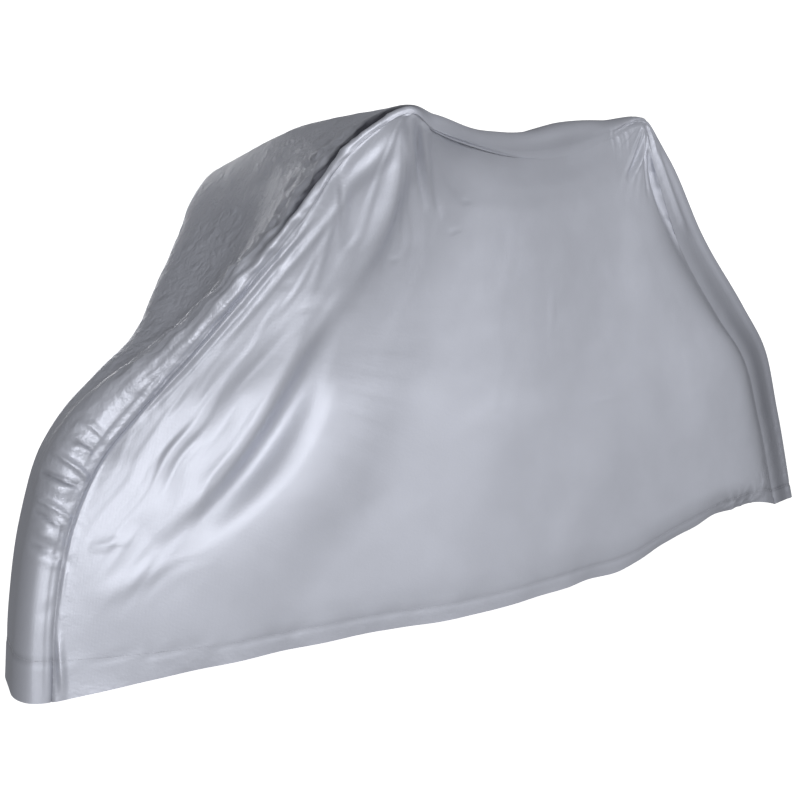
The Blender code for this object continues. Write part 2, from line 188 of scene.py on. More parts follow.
# Fine creases side by side: the middle of the patch, the angle they run at and the patch's half sizes.
# pitch: from one crease to the next.
Streaks = namedtuple("Streaks", "x z angle along across pitch height")
LEFT_STREAKS = [
    Streaks(-0.120, 0.520, 54, 0.160, 0.070, 0.017, 0.0017),
    Streaks(0.020, 0.790, 62, 0.090, 0.060, 0.016, 0.0012),
    Streaks(-0.150, 0.360, 34, 0.100, 0.040, 0.020, 0.0006),
]
RIGHT_STREAKS = [
    Streaks(-0.110, 0.520, 52, 0.150, 0.060, 0.020, 0.0014),
]
# Short creases left from packing: middle of each as (x, z), its angle and its length.
Tick = namedtuple("Tick", "x z angle length rise")
LEFT_TICKS = [
    Tick(-0.020, 0.747, 3, 0.040, 0.0012),
    Tick(0.032, 0.776, 0, 0.030, 0.0010),
    Tick(0.062, 0.741, 2, 0.026, 0.0010),
    Tick(0.204, 0.815, -3, 0.026, 0.0012),
    Tick(0.345, 0.910, 2, 0.028, 0.0012),
    Tick(0.322, 0.862, 12, 0.030, 0.0010),
    Tick(0.292, 0.310, 84, 0.060, 0.0012),
    Tick(0.560, 0.720, 86, 0.120, 0.0010),
    Tick(0.700, 0.560, 3, 0.090, 0.0008),
    Tick(0.420, 0.560, 88, 0.120, 0.0008),
    Tick(0.150, 0.440, 86, 0.100, 0.0008),
]
RIGHT_TICKS = [
    Tick(0.080, 0.700, 3, 0.060, 0.0012),
    Tick(0.350, 0.800, 88, 0.120, 0.0010),
    Tick(0.600, 0.600, 2, 0.100, 0.0010),
    Tick(0.850, 0.500, 86, 0.120, 0.0010),
    Tick(0.300, 0.420, 4, 0.080, 0.0010),
]
TICK_WIDTH = 0.012
# How far fine creases wander from their line, and the length or the angle over which they do.
FAN_WANDER = 3.0  # degrees
FAN_WANDER_LENGTH = 0.05
FAN_SOFT = 12  # degrees over which a fan fades at both sides
FAN_UNEVEN_ANGLE = 9
STREAK_WANDER = 0.010
STREAK_WANDER_LENGTH = 0.07
STREAK_LENGTH = 0.09
PUCKER_WANDER = 0.9
PUCKER_SOFT = 0.03  # length over which a row of puckers fades at its ends
LINE_SHIFT = 40  # where a random pattern starts
FIELD_SHIFT = 80
BAND_SOFT = 0.2  # share of a band over which it fades at its ends
FOLD_STEPS = 16  # straight pieces of a fold's line
WIDE_TAPER = 4.0  # how much softer a wide fold ends, for each metre of its width

# Cross wrinkles of the gusset's left flank over the front wheel, and how softly they end.
WHEEL_TAPER = 0.6
WHEEL_CREASES = [
    Fold("loop crease", (-0.262, 0.562), (-0.240, 0.575), (-0.216, 0.545), 0.014, 0.0060, 1.2),
    Fold("loop hollow", (-0.268, 0.548), (-0.246, 0.548), (-0.232, 0.528), 0.018, -0.0060, 1.2),
    Fold("first crease", (-0.290, 0.536), (-0.268, 0.518), (-0.244, 0.490), 0.022, 0.0100, 1.2, 0.010),
    Fold("second crease", (-0.312, 0.505), (-0.285, 0.497), (-0.254, 0.480), 0.018, -0.0080, 1.2, 0.010),
    Fold("third crease", (-0.318, 0.470), (-0.296, 0.456), (-0.270, 0.432), 0.018, 0.0085, 1.2, 0.010),
    Fold("fourth crease", (-0.320, 0.450), (-0.298, 0.436), (-0.276, 0.410), 0.014, -0.0075, 1.2, 0.010),
    Fold("fifth crease", (-0.328, 0.428), (-0.306, 0.417), (-0.282, 0.398), 0.014, 0.0070, 1.2, 0.010),
    Fold("sixth crease", (-0.330, 0.402), (-0.310, 0.396), (-0.288, 0.384), 0.014, -0.0060, 1.2, 0.010),
    Fold("seventh crease", (-0.334, 0.384), (-0.312, 0.380), (-0.292, 0.372), 0.014, 0.0050, 1.2, 0.010),
]
# A ridge or groove beside the gusset's left seam: near is its distance from the seam where it starts,
# far where it ends.
Band = namedtuple("Band", "start end near far width rise")
GUSSET_BANDS = [
    Band("front hem", "hub height", 0.021, 0.024, 0.008, -0.0016),
    Band("front hem", "hub height", 0.009, 0.010, 0.008, -0.0010),
    Band("neck", "upper face", 0.010, 0.010, 0.012, 0.0022),
    Band("swag front", "saddle", 0.056, 0.050, 0.050, 0.0040),
    Band("saddle back", "mid slope", 0.008, 0.045, 0.018, 0.0050),
    Band("saddle", "back slope", 0.004, 0.020, 0.010, -0.0030),
]
PANEL_BANDS = [
    Band("wheel top", "upper face", 0.012, 0.012, 0.014, 0.0026),
    Band("neck", "upper face", 0.026, 0.022, 0.014, -0.0016),
    Band("lower face", "below grips", 0.040, 0.034, 0.018, 0.0020),
    Band("front rim", "wheel top", 0.007, 0.007, 0.008, 0.0012),
]
# The crevice along the left edge of the front face, by its distance from the left seam.
Crevice = namedtuple("Crevice", "place distance depth width")
CREVICE = [
    Crevice("mid face", 0.020, 0.0000, 0.0040),
    Crevice("upper face", 0.025, 0.0060, 0.0045),
    Crevice("below grips", 0.026, 0.0070, 0.0055),
    Crevice("face top", 0.030, 0.0085, 0.0100),
    Crevice("grips", 0.024, 0.0040, 0.0090),
    Crevice("behind grips", 0.014, 0.0000, 0.0060),
]
# The notch below it: its row, its distance from the left seam, its half sizes in rows and in metres.
Notch = namedtuple("Notch", "row distance rows width depth")
NOTCH = Notch(32.5, 0.050, 0.5, 0.008, 0.006)

# The seam, place by place: how deep its groove is, how high the roll beside it, how far both sheets
# are rounded over around it, how far the gusset's edge is turned in behind it, and how much painted
# shade darkens the cloth around it.
Seam = namedtuple("Seam", "place depth roll ease turn_in dark")
SEAM = [
    Seam("front hem", 0.0020, 0.0003, 0.0000, 0.000, 0.00),
    Seam("hub height", 0.0018, 0.0004, 0.0000, 0.000, 0.00),
    Seam("wheel top", 0.0018, 0.0004, 0.0000, 0.000, 0.00),
    Seam("mid face", 0.0014, 0.0003, 0.0000, 0.000, 0.00),
    Seam("face top", 0.0010, 0.0000, 0.0010, 0.000, 0.00),
    Seam("grips", 0.0003, 0.0000, 0.0020, 0.000, 0.00),
    Seam("behind grips", 0.0000, 0.0000, 0.0070, 0.000, 0.04),
    Seam("swag low", 0.0000, 0.0000, 0.0140, 0.000, 0.12),
    Seam("saddle nose", 0.0000, 0.0000, 0.0140, 0.000, 0.14),
    Seam("saddle", 0.0002, 0.0000, 0.0090, 0.000, 0.14),
    Seam("saddle back", 0.0016, 0.0002, 0.0010, 0.000, 0.10),
    Seam("back slope", 0.0008, 0.0001, 0.0040, 0.006, 0.10),
    Seam("mid slope", 0.0000, 0.0000, 0.0100, 0.020, 0.32),
    Seam("rack corner", 0.0000, 0.0000, 0.0160, 0.030, 0.48),
    Seam("rear wheel", 0.0000, 0.0000, 0.0150, 0.030, 0.50),
    Seam("rear hem", 0.0006, 0.0001, 0.0080, 0.024, 0.45),
]
# How far the painted shade beside a seam reaches.
SEAM_PAINTED_SHADE_REACH = 0.075
EASE_REACH = 0.052
GROOVE_REACH = 0.0040
# Painted shade of a seam's groove: how far it reaches, and the groove depth that gets it in full.
GROOVE_SHADE_REACH = 0.0032
GROOVE_FULL_DARK = 0.0030  # depth of a groove that looks fully dark
ROLL_PLACE = 0.010  # from the seam to the top of the roll
ROLL_REACH = 0.005
LEAST_MITRE = 0.6  # keeps the seam's point from running far out where the sheets meet sharply
# The gusset's painted shade reaches further where it is darker, and is darkest a little away from the seam.
DARK_LEAST_REACH = 0.3
DARK_WIDENING = 2.4
DARK_AT_SEAM = 0.4
DARK_GAIN = 1.2
DARK_GAIN_FADE = 0.048
# Turning in behind the seam: the share that the start of the corner takes, how far the ridge moves out
# for what is turned in, and for all that lies above the seam.
TURN_AT_CORNER = 0.35
RIDGE_OUT_BY_TURN = 0.70
RIDGE_OUT_ABOVE_SEAM = 0.30

# Small puckers that a seam draws up, between two places of the gusset. pitch: from one to the next.
# reach: how far they run from the seam. slant: how much they lean along the seam as they run out.
Pucker = namedtuple("Pucker", "start end pitch reach height slant")
LEFT_SEAM_PUCKERS = [
    Pucker("wheel top", "below grips", 0.013, 0.020, 0.0010, 1.2),
    Pucker("neck", "face top", 0.030, 0.045, 0.0014, 1.5),
    Pucker("front rim", "wheel top", 0.018, 0.022, 0.0014, 0.6),
    Pucker("front hem", "front rim", 0.040, 0.018, 0.0008, 0.2),
    Pucker("face top", "behind grips", 0.014, 0.018, 0.0010, 0.3),
    Pucker("saddle", "back slope", 0.013, 0.025, 0.0016, 0.2),
    Pucker("back slope", "rear wheel", 0.022, 0.018, 0.0010, 0.4),
    Pucker("rear wheel", "rear hem", 0.016, 0.030, 0.0022, 0.5),
]
RIGHT_SEAM_PUCKERS = [
    Pucker("neck", "below grips", 0.015, 0.020, 0.0018, 1.0),
    Pucker("front rim", "wheel top", 0.020, 0.022, 0.0012, 0.6),
    Pucker("face top", "swag front", 0.016, 0.018, 0.0010, 0.3),
    Pucker("behind grips", "saddle", 0.024, 0.018, 0.0010, 0.5),
    Pucker("saddle", "back slope", 0.014, 0.025, 0.0016, 0.2),
    Pucker("back slope", "rear hem", 0.022, 0.020, 0.0012, 0.4),
]

# Distance from a seam over which each kind of fine form grows to its full height.
PUCKER_FADE = 0.006
CREASE_FADE = 0.010
BAND_FADE = 0.012
FAN_FADE = 0.020
SWELL_FADE = 0.050
PANEL_SWELL_FADE = 0.080

# Broad waves: how wide and how high each is, and its share of the swell.
Swell = namedtuple("Swell", "across along share")
PANEL_SWELLS = [Swell(0.17, 0.20, 1.0), Swell(0.07, 0.09, 0.30), Swell(0.026, 0.030, 0.07)]
GUSSET_SWELL = Swell(0.12, 0.09, 0.45)

# Turned hems: the sewn line's groove, the gathers beside it and the waves of the free edge.
HEM_STEP = 0.004  # width over which the second layer starts
SEWN_DEPTH = 0.0008
SEWN_REACH = 0.0035
GATHER_HEIGHT = 0.0008
GATHER_REACH = 0.010
GATHER_SLANT = 6
PANEL_GATHER_PITCH = 0.013
GUSSET_GATHER_PITCH = 0.012
EDGE_WAVE_HEIGHT = 0.0035
EDGE_WAVE_PITCH = 0.070
EDGE_WAVE_REACH = 0.035
GUSSET_HEMS = {"front hem": 0.064, "rear hem": 0.034}
STITCH_LIFT = 0.3  # height of a stitch's middle above the cloth, in widths of the thread

# Crumpled patches at a panel's lower rear corner: the middle and the half sizes of each.
Patch = namedtuple("Patch", "x z half_x half_z")
REAR_PATCHES = [Patch(1.265, 0.330, 0.050, 0.050), Patch(1.160, 0.305, 0.100, 0.022)]
RUMPLE_SIZE = (0.030, 0.024)
RUMPLE_HEIGHT = 0.0030
FRONT_WRINKLES_END = 0.30  # how far back the wrinkled front part of a panel's seams reaches
FRONT_WRINKLES_REACH = 0.030
HEM_WRINKLES_REACH = 0.025

# Crumpled patches of the gusset: the places that each lies between, how far its middle is from the left
# seam, its reach, its share of the height set for crumples, and how long and how wide one crumple is.
Crumple = namedtuple("Crumple", "start end distance reach share long wide seed")
CRUMPLES = [
    Crumple("wheel shoulder", "mid face", 0.055, 0.040, 0.20, 0.050, 0.014, 6),
    Crumple("mid face", "face top", 0.085, 0.060, 1.00, 0.026, 0.024, 11),
]
FACE_CRUMPLE_SIZE = (0.060, 0.055)
FACE_CRUMPLE_SHARE = 0.44
FACE_SOFT = 5  # rows over which the forms of the face fade at their ends
WHEEL_SOFT = 6
REAR_SOFT = 12
FACE_CALM = 0.7  # how much of the face's crumple is gone at its right side
FACE_CALM_START = -0.06
FACE_CALM_WIDTH = 0.16
CALM_BESIDE_RIDGE = 0.070  # beside the left ridge the face isn't finely crumpled

# Long wrinkles beside the left ridge of the front face, how far they wander and how uneven they are.
RIDGE_PITCH = 0.019
RIDGE_HEIGHT = 0.0050
RIDGE_DISTANCE = 0.040
RIDGE_REACH = 0.045
RIDGE_WANDER = 2.2
RIDGE_WANDER_SIZE = (0.085, 0.050)
RIDGE_UNEVEN = 0.35
RIDGE_UNEVEN_SIZE = (0.040, 0.020)
RIDGE_SHARP = 1.4
RIDGE_SUNK = 0.4  # share of a wrinkle's height that lies below the cloth around it

# How much painted shade darkens each kind of hollow, and how finely crumpled each stretch is, from 0 to 1.
GROOVE_PAINTED_SHADE = 0.55
SEWN_LINE_PAINTED_SHADE = 0.20
CORNER_PAINTED_SHADE = 0.40
# Painted shade of the crevice and of the notch below it, standing in for the shadow in them.
CREVICE_PAINTED_SHADE = 1.2
CREVICE_FULL_DARK = 0.0060  # depth at which the crevice has that darkness
CREVICE_SHADE_SHIFT = 0.6  # its shade lies a little further from the seam, in widths of the crevice
CREVICE_SHADE_WIDTH = 1.15
NOTCH_PAINTED_SHADE = 0.6
WHEEL_PAINTED_SHADE = 0.35
WHEEL_FULL_DARK = 0.0050
FACE_CRUMPLED = 0.9
WHEEL_CRUMPLED = 0.25
REAR_CRUMPLED = 0.3
CORNER_CRUMPLED = 0.6
EDGE_CRUMPLED = 0.12

# Where a pucker's rise reaches the gusset's columns: 0 to 1 on the flat face, 1 to 4 round the corner and
# 4 to 5 on the flank.
PUCKER_RUN = (0, 0.5, 1, 2, 3, 4, 5)
PUCKER_SHARES = (0, 0, 0.1, 0.5, 1, 0.9, 0)

# Grid of the cloth.
PANEL_LINES = 250  # upright lines of a side panel
PANEL_ROWS = 190
FLAT_LINES = 19  # lines of the gusset from its middle to its corner
FLAT_CROWDING = 1.8  # above 1 crowds them towards the corner
CORNER_LINES = 10
FLANK_LINES = 9
UPRIGHT_TURN = 0.3  # the wheel's wrinkles lie where the corner has turned by more than this, in radians
TOP_CROWDING = 1.35  # above 1 crowds a panel's rows towards its top seam
END_CROWDING = 0.55  # above 0 crowds a panel's lines towards its front and rear seams

Side = namedtuple("Side", "name node sign folds puckers creases streaks ticks seam_puckers bands seed")
SIDES = [
    Side(
        "left_panel_cloth", "left_panel", -1, LEFT_FOLDS, LEFT_PUCKERS,
        LEFT_CREASES, LEFT_STREAKS, LEFT_TICKS, LEFT_SEAM_PUCKERS, PANEL_BANDS, 11,
    ),
    Side(
        "right_panel_cloth", "right_panel", 1, RIGHT_FOLDS, RIGHT_PUCKERS,
        RIGHT_CREASES, RIGHT_STREAKS, RIGHT_TICKS, RIGHT_SEAM_PUCKERS, PANEL_BANDS, 23,
    ),
]
GUSSET_NAME = "centre_gusset_cloth"
GUSSET_SEED = 300

# Patterns of the coated cloth, in changes per metre, how much they change it and how high they are.
MOTTLE_SCALE = 14.0
GRAIN_SCALE = 260.0
FOIL_SCALE = 32.0
THREAD_SCALE = 160.0
WORN_SHARE = 0.90
GRAIN_RELIEF = 0.7
THREAD_RELIEF = 0.15
FOIL_RELIEF = 75.0
NOISE_ROUGHNESS = 0.55
MOTTLE_ROUGHNESS = 0.06
GRAIN_ROUGHNESS = 0.04
CLOTH_SHINE = 0.4
# Painted shade: the gusset and right panel are copies of the cloth a little darker than the left panel.
LEFT_TONE = 1.0  # lightness of the left panel
SHADED_COPY_TONE = 0.97  # lightness of the other pieces
THREAD_ROUGHNESS = 0.55
PLAIN_SCALE = 300.0
PLAIN_DARKER = 0.85
BUMP_STRENGTH = 0.35
BUMP_DISTANCE = 0.0006

# The studio.
BACKDROP_RADIUS = 6.0
BACKDROP_BEND = 2.5
BACKDROP_RISE = 5.0
BACKDROP_SECTORS = 96
BACKDROP_RINGS = (0.02, 0.25, 0.5, 0.75, 1.0)  # rings of the flat floor, as shares of its radius
BEND_STEPS = 12
CAMERA_PLACE = (-0.500, -1.503, 0.724)
CAMERA_YAW = 29.1
CAMERA_PITCH = -5.1
CAMERA_ROLL = -1.2
# One light behind the camera, one on each side of it and one beyond the cover, all turned to one point.
LIGHT_TARGET = (-0.35, 0.0, -0.50)
Light = namedtuple("Light", "name power place size")
LIGHTS = [
    Light("key_light", "key_power", (-4.06, -11.41, 1.2), 4.0),
    Light("right_light", "right_power", (4.0, -9.5, 1.8), 5.0),
    Light("left_light", "left_power", (-7.8, -9.2, -0.6), 4.0),
    Light("far_light", "far_power", (0.8, 10.5, 1.6), 5.0),
]


# ---------------------------------------------------------------- settings


class CoverSizes(bpy.types.PropertyGroup):
    """Sizes of the cloth and of its sewing."""

    thickness: FloatProperty(
        name="Cloth thickness", description="Thickness of the coated cloth",
        default=0.0012, min=0.0005, max=0.003, unit="LENGTH",
    )
    hem_layer: FloatProperty(
        name="Hem layer", description="How much the turned hem adds to the cloth",
        default=0.0008, min=0.0, max=0.003, unit="LENGTH",
    )
    swell: FloatProperty(
        name="Swell", description="Height of the broad waves in the cloth",
        default=0.0022, min=0.0, max=0.010, unit="LENGTH",
    )
    crumple: FloatProperty(
        name="Crumple", description="Height of the strongest crumples of the front face",
        default=0.0050, min=0.0, max=0.010, unit="LENGTH",
    )
    stitch_pitch: FloatProperty(
        name="Stitch pitch", description="From one stitch to the next",
        default=0.0046, min=0.002, max=0.010, unit="LENGTH",
    )
    stitch_length: FloatProperty(
        name="Stitch length", description="Length of one stitch",
        default=0.0034, min=0.001, max=0.008, unit="LENGTH",
    )
    stitch_width: FloatProperty(
        name="Stitch width", description="Thickness of the thread",
        default=0.0008, min=0.0002, max=0.002, unit="LENGTH",
    )


class CoverColours(bpy.types.PropertyGroup):
    """Colours of the cloth, the thread and the studio."""

    cloth: FloatVectorProperty(
        name="Cloth", description="Colour of the coated cloth",
        default=(0.560, 0.580, 0.655), size=3, subtype="COLOR", min=0, max=1,
    )
    # Painted shade: the near-black colour that stands in for shadow deep in the seams, grooves and folds.
    crease: FloatVectorProperty(
        name="Crease", description="Colour deep in the seams and folds",
        default=(0.060, 0.062, 0.078), size=3, subtype="COLOR", min=0, max=1,
    )
    thread: FloatVectorProperty(
        name="Thread", description="Colour of the sewing thread",
        default=(0.520, 0.530, 0.580), size=3, subtype="COLOR", min=0, max=1,
    )
    backdrop: FloatVectorProperty(
        name="Backdrop", description="Colour of the floor and the backdrop",
        default=(0.90, 0.90, 0.90), size=3, subtype="COLOR", min=0, max=1,
    )
    metal_share: FloatProperty(
        name="Metal share", description="How metallic the coating looks",
        default=0.42, min=0, max=1, subtype="FACTOR",
    )
    roughness: FloatProperty(
        name="Roughness", description="Roughness of the coating",
        default=0.50, min=0, max=1, subtype="FACTOR",
    )


class StudioSettings(bpy.types.PropertyGroup):
    """The camera, the lights and the floor."""

    lens: FloatProperty(
        name="Lens", description="Focal length of the camera in millimetres",
        default=41.6, min=20, max=100,
    )
    key_power: FloatProperty(
        name="Key light", description="Power of the high light behind the camera",
        default=590.0, min=0, unit="POWER",
    )
    right_power: FloatProperty(
        name="Right light", description="Power of the high light on the camera's right",
        default=345.0, min=0, unit="POWER",
    )
    left_power: FloatProperty(
        name="Left light", description="Power of the low light on the camera's left",
        default=260.0, min=0, unit="POWER",
    )
    far_power: FloatProperty(
        name="Far light", description="Power of the light on the far side of the cover",
        default=420.0, min=0, unit="POWER",
    )
    sky: FloatProperty(
        name="Room light", description="Strength of the even light from all round",
        default=0.16, min=0, max=5,
    )
    backdrop_glow: FloatProperty(
        name="Backdrop glow", description="How much the backdrop shines by itself",
        default=0.85, min=0, max=2,
    )
    ground: FloatProperty(
        name="Ground", description="Height of the floor that the bicycle stands on",
        default=-1.119, unit="LENGTH",
    )


# ---------------------------------------------------------------- curves and grids


def along_table(table, steps, wanted):
    """Values of a table at the wanted steps, on smooth curves through every row."""
    values = np.array(table, dtype=float)
    steps = np.array(steps)
    spans = np.linalg.norm(np.diff(values[:, :2], axis=0), axis=1)
    slopes = np.diff(values, axis=0) / spans[:, None]
    tangents = np.empty_like(values)
    tangents[0] = slopes[0]
    tangents[-1] = slopes[-1]
    before = spans[:-1, None]
    after = spans[1:, None]
    tangents[1:-1] = (slopes[:-1] * after + slopes[1:] * before) / (before + after)
    knots = np.concatenate([[0], np.cumsum(steps)])
    index = np.clip(np.searchsorted(knots, wanted, side="right") - 1, 0, len(steps) - 1)
    t = ((wanted - knots[index]) / steps[index])[:, None]
    span = spans[index][:, None]
    start = values[index] * (1 + 2 * t) + tangents[index] * span * t
    end = values[index + 1] * (3 - 2 * t) - tangents[index + 1] * span * (1 - t)
    return start * (1 - t) ** 2 + end * t**2


def unit(vectors):
    """The same vectors at length one."""
    return vectors / np.linalg.norm(vectors, axis=-1, keepdims=True)


def normals(grid):
    """The normal at each point of a grid, on the side where its rows turn towards its columns."""
    return unit(np.cross(np.gradient(grid, axis=0), np.gradient(grid, axis=1)))


def run_length(grid, axis):
    """Length along a grid's lines from their start to each point."""
    steps = np.linalg.norm(np.diff(grid, axis=axis), axis=-1)
    pad = [(1, 0) if side == axis else (0, 0) for side in range(grid.ndim - 1)]
    return np.cumsum(np.pad(steps, pad), axis=axis)


def soft_step(value):
    """0 below 0, 1 above 1 and smooth between."""
    t = np.clip(value, 0, 1)
    return t * t * (3 - 2 * t)


def bell(value):
    """1 at 0, fading to nothing about 2 away on both sides."""
    return np.exp(-(value**2))


def line_noise(along, seed):
    """Smooth random values from -1 to 1 that change about once for each unit of length."""
    values = np.random.default_rng(seed).uniform(-1, 1, 4096)
    cell = np.floor(along).astype(int)
    t = soft_step(along - cell)
    return values[cell % 4096] * (1 - t) + values[(cell + 1) % 4096] * t


def field_noise(across, along, seed):
    """Smooth random values from -1 to 1 over a surface that change about once for each unit."""
    values = np.random.default_rng(seed).uniform(-1, 1, (256, 256))
    i = np.floor(across).astype(int)
    j = np.floor(along).astype(int)
    s = soft_step(across - i)
    t = soft_step(along - j)
    near = values[i % 256, j % 256] * (1 - t) + values[i % 256, (j + 1) % 256] * t
    far = values[(i + 1) % 256, j % 256] * (1 - t) + values[(i + 1) % 256, (j + 1) % 256] * t
    return near * (1 - s) + far * s


def crumple_noise(across, along, seed):
    """Sharp random ridges between soft hollows, in three sizes turned against each other."""
    height = np.zeros_like(across)
    for octave, (size, share, angle) in enumerate(
        ((1.0, 1.0, 0.5), (1.9, 0.5, 1.6), (3.7, 0.22, 2.6))
    ):
        a = (across * math.cos(angle) + along * math.sin(angle)) * size
        b = (along * math.cos(angle) - across * math.sin(angle)) * size
        height += share * (0.5 - 2 * np.abs(field_noise(a, b, seed + octave)))
    return height


def place_row(place):
    """The gusset's row at a named place, counted as in the solids."""
    names = [station.place for station in STATIONS]
    return sum(station.rows for station in STATIONS[: names.index(place)])


def fold_height(x, z, folds, taper=0.7):
    """How far the folds raise the cloth at each point, seen from the side. taper: 0 for blunt ends."""
    height = np.zeros_like(x)
    for fold in folds:
        start, middle, end = (np.array(point) for point in (fold.start, fold.middle, fold.end))
        t = np.linspace(0, 1, FOLD_STEPS + 1)[:, None]
        line = (1 - t) * (1 - 2 * t) * start + 4 * t * (1 - t) * middle + t * (2 * t - 1) * end
        nearest = np.full_like(x, np.inf)
        share = np.zeros_like(x)
        right = np.zeros_like(x, dtype=bool)
        for step in range(FOLD_STEPS):
            first = line[step]
            way = line[step + 1] - first
            along = np.clip(((x - first[0]) * way[0] + (z - first[1]) * way[1]) / (way @ way), 0, 1)
            off_x = x - first[0] - along * way[0]
            off_z = z - first[1] - along * way[1]
            distance = np.hypot(off_x, off_z)
            closer = distance < nearest
            nearest = np.where(closer, distance, nearest)
            share = np.where(closer, (step + along) / FOLD_STEPS, share)
            right = np.where(closer, off_x * way[1] > off_z * way[0], right)
        width = np.where(right, fold.back or fold.width, fold.width)
        across = np.clip(nearest / (0.5 * width), 0, 1)
        along = np.clip(np.sin(math.pi * share), 0, 1) ** (taper + WIDE_TAPER * fold.width)
        height += fold.rise * along * (0.5 + 0.5 * np.cos(math.pi * across)) ** fold.sharp
    return height


def tick_height(x, z, ticks):
    """How far the short packing creases raise the cloth."""
    height = np.zeros_like(x)
    for tick in ticks:
        angle = math.radians(tick.angle)
        along = (x - tick.x) * math.cos(angle) + (z - tick.z) * math.sin(angle)
        across = (z - tick.z) * math.cos(angle) - (x - tick.x) * math.sin(angle)
        height += tick.rise * bell(across / (0.3 * TICK_WIDTH)) * bell(along / (0.5 * tick.length)) ** 2
    return height


def fan_height(x, z, fans, seed):
    """How far the creases that spread from a point raise the cloth."""
    height = np.zeros_like(x)
    for number, fan in enumerate(fans):
        radius = np.hypot(x - fan.x, z - fan.z)
        angle = np.degrees(np.arctan2(z - fan.z, x - fan.x))
        angle += FAN_WANDER * line_noise(radius / FAN_WANDER_LENGTH, seed + number)
        inside = soft_step((angle - fan.first) / FAN_SOFT) * soft_step((fan.last - angle) / FAN_SOFT)
        ridge = line_noise(2 * angle / fan.pitch + LINE_SHIFT, seed + 10 + number)
        strength = 0.6 + 0.4 * line_noise(angle / FAN_UNEVEN_ANGLE + LINE_SHIFT, seed + 20 + number)
        away = np.clip(radius / fan.peak, 0, 1) * bell(np.maximum(radius - fan.peak, 0) / fan.reach)
        height += fan.height * inside * strength * ridge * away
    return height


def streak_height(x, z, patches, seed):
    """How far the patches of fine creases side by side raise the cloth."""
    height = np.zeros_like(x)
    for number, patch in enumerate(patches):
        angle = math.radians(patch.angle)
        along = (x - patch.x) * math.cos(angle) + (z - patch.z) * math.sin(angle)
        across = (z - patch.z) * math.cos(angle) - (x - patch.x) * math.sin(angle)
        wander = line_noise(along / STREAK_WANDER_LENGTH + LINE_SHIFT, seed + number)
        steps = 2 * (across + STREAK_WANDER * wander) / patch.pitch + FIELD_SHIFT
        ridge = field_noise(steps, along / STREAK_LENGTH + FIELD_SHIFT, seed + 10 + number)
        height += patch.height * ridge * bell(along / patch.along) * bell(across / patch.across)
    return height


def pucker_height(length, distance, puckers, place_length, seed):
    """How far a seam's small puckers raise the cloth, from the length along it and the distance to it."""
    height = np.zeros_like(distance)
    for number, pucker in enumerate(puckers):
        start = place_length(pucker.start)
        end = place_length(pucker.end)
        inside = soft_step((length - start) / PUCKER_SOFT + 0.5)
        inside = inside * soft_step((end - length) / PUCKER_SOFT + 0.5)
        slid = (length + pucker.slant * distance) / pucker.pitch
        slid += PUCKER_WANDER * line_noise(slid / 2.7, seed + number)
        ridge = line_noise(slid * 2, seed + 10 + number)
        strength = 0.6 + 0.4 * line_noise(slid / 1.7, seed + 20 + number)
        reach = pucker.reach * (1 + 0.6 * line_noise(slid, seed + 30 + number))
        height += pucker.height * inside * strength * ridge * bell(distance / reach)
    return height


def band_height(length, distance, bands, place_length):
    """How far the ridges and grooves beside a seam raise the cloth."""
    height = np.zeros_like(distance)
    for band in bands:
        start = place_length(band.start)
        end = place_length(band.end)
        share = np.clip((length - start) / (end - start), 0, 1)
        centre = band.near + (band.far - band.near) * share
        inside = soft_step(share / BAND_SOFT) * soft_step((1 - share) / BAND_SOFT)
        height += band.rise * inside * bell((distance - centre) / (0.4 * band.width))
    return height


# ---------------------------------------------------------------- base forms


def gusset_spots():
    """Columns across the gusset: side, share of the flat face, angle round the corner, share of the
    flank, and the share of a pucker's rise that reaches the column."""
    flat = 1 - (1 - np.linspace(0, 1, FLAT_LINES + 1)) ** FLAT_CROWDING
    turn = np.linspace(0, 1, CORNER_LINES + 1)[1:]
    flank = np.linspace(0, 1, FLANK_LINES + 1)[1:]
    half = np.zeros((len(flat) + len(turn) + len(flank), 4))
    half[: len(flat), 0] = flat
    half[len(flat) :, 0] = 1
    half[len(flat) : len(flat) + len(turn), 1] = turn * 0.5 * math.pi
    half[len(flat) + len(turn) :, 1] = 0.5 * math.pi
    half[len(flat) + len(turn) :, 2] = flank
    run = half[:, 0] + 3 * half[:, 1] / (0.5 * math.pi) + half[:, 2]
    half[:, 3] = np.interp(run, PUCKER_RUN, PUCKER_SHARES)
    sides = np.concatenate([-np.ones(len(half)), np.ones(len(half) - 1)])
    return np.column_stack([sides, np.concatenate([half[::-1], half[1:]])])


def gusset_base(rows, spots):
    """The gusset's outer face with its main puckers."""
    values = along_table(
        [station[1:9] for station in STATIONS],
        [station.rows for station in STATIONS[:-1]],
        rows,
    )
    crown = values[:, None, 0:2]
    seam = values[:, None, 2:4]
    half, lean, corner, hollow = (values[:, k, None] for k in range(4, 8))
    side, flat, angle, flank, pucker = spots.T
    along = unit(np.gradient(values[:, 0:2], axis=0))
    inwards = np.stack([along[:, 1], -along[:, 0]], axis=1)[:, None, :]
    drop = np.linalg.norm(seam - crown, axis=-1)
    bend = np.minimum(corner, 0.7 * drop) / drop
    out = (half - corner) * flat + corner * np.sin(angle)
    down = bend * (1 - np.cos(angle)) + (1 - bend) * flank
    sunk = hollow * np.clip(1 - (out / (half - corner)) ** 2, 0, 1) ** 2
    point = crown + (seam - crown) * down[..., None] + inwards * sunk[..., None]
    grid = np.stack([point[..., 0] - lean * side * out / half, side * out, point[..., 1]], axis=-1)
    faces = normals(grid)
    left, right = (pucker * fold_height(grid[..., 0], grid[..., 2], each.puckers) for each in SIDES)
    return grid + np.where(side < 0, left, right)[..., None] * faces


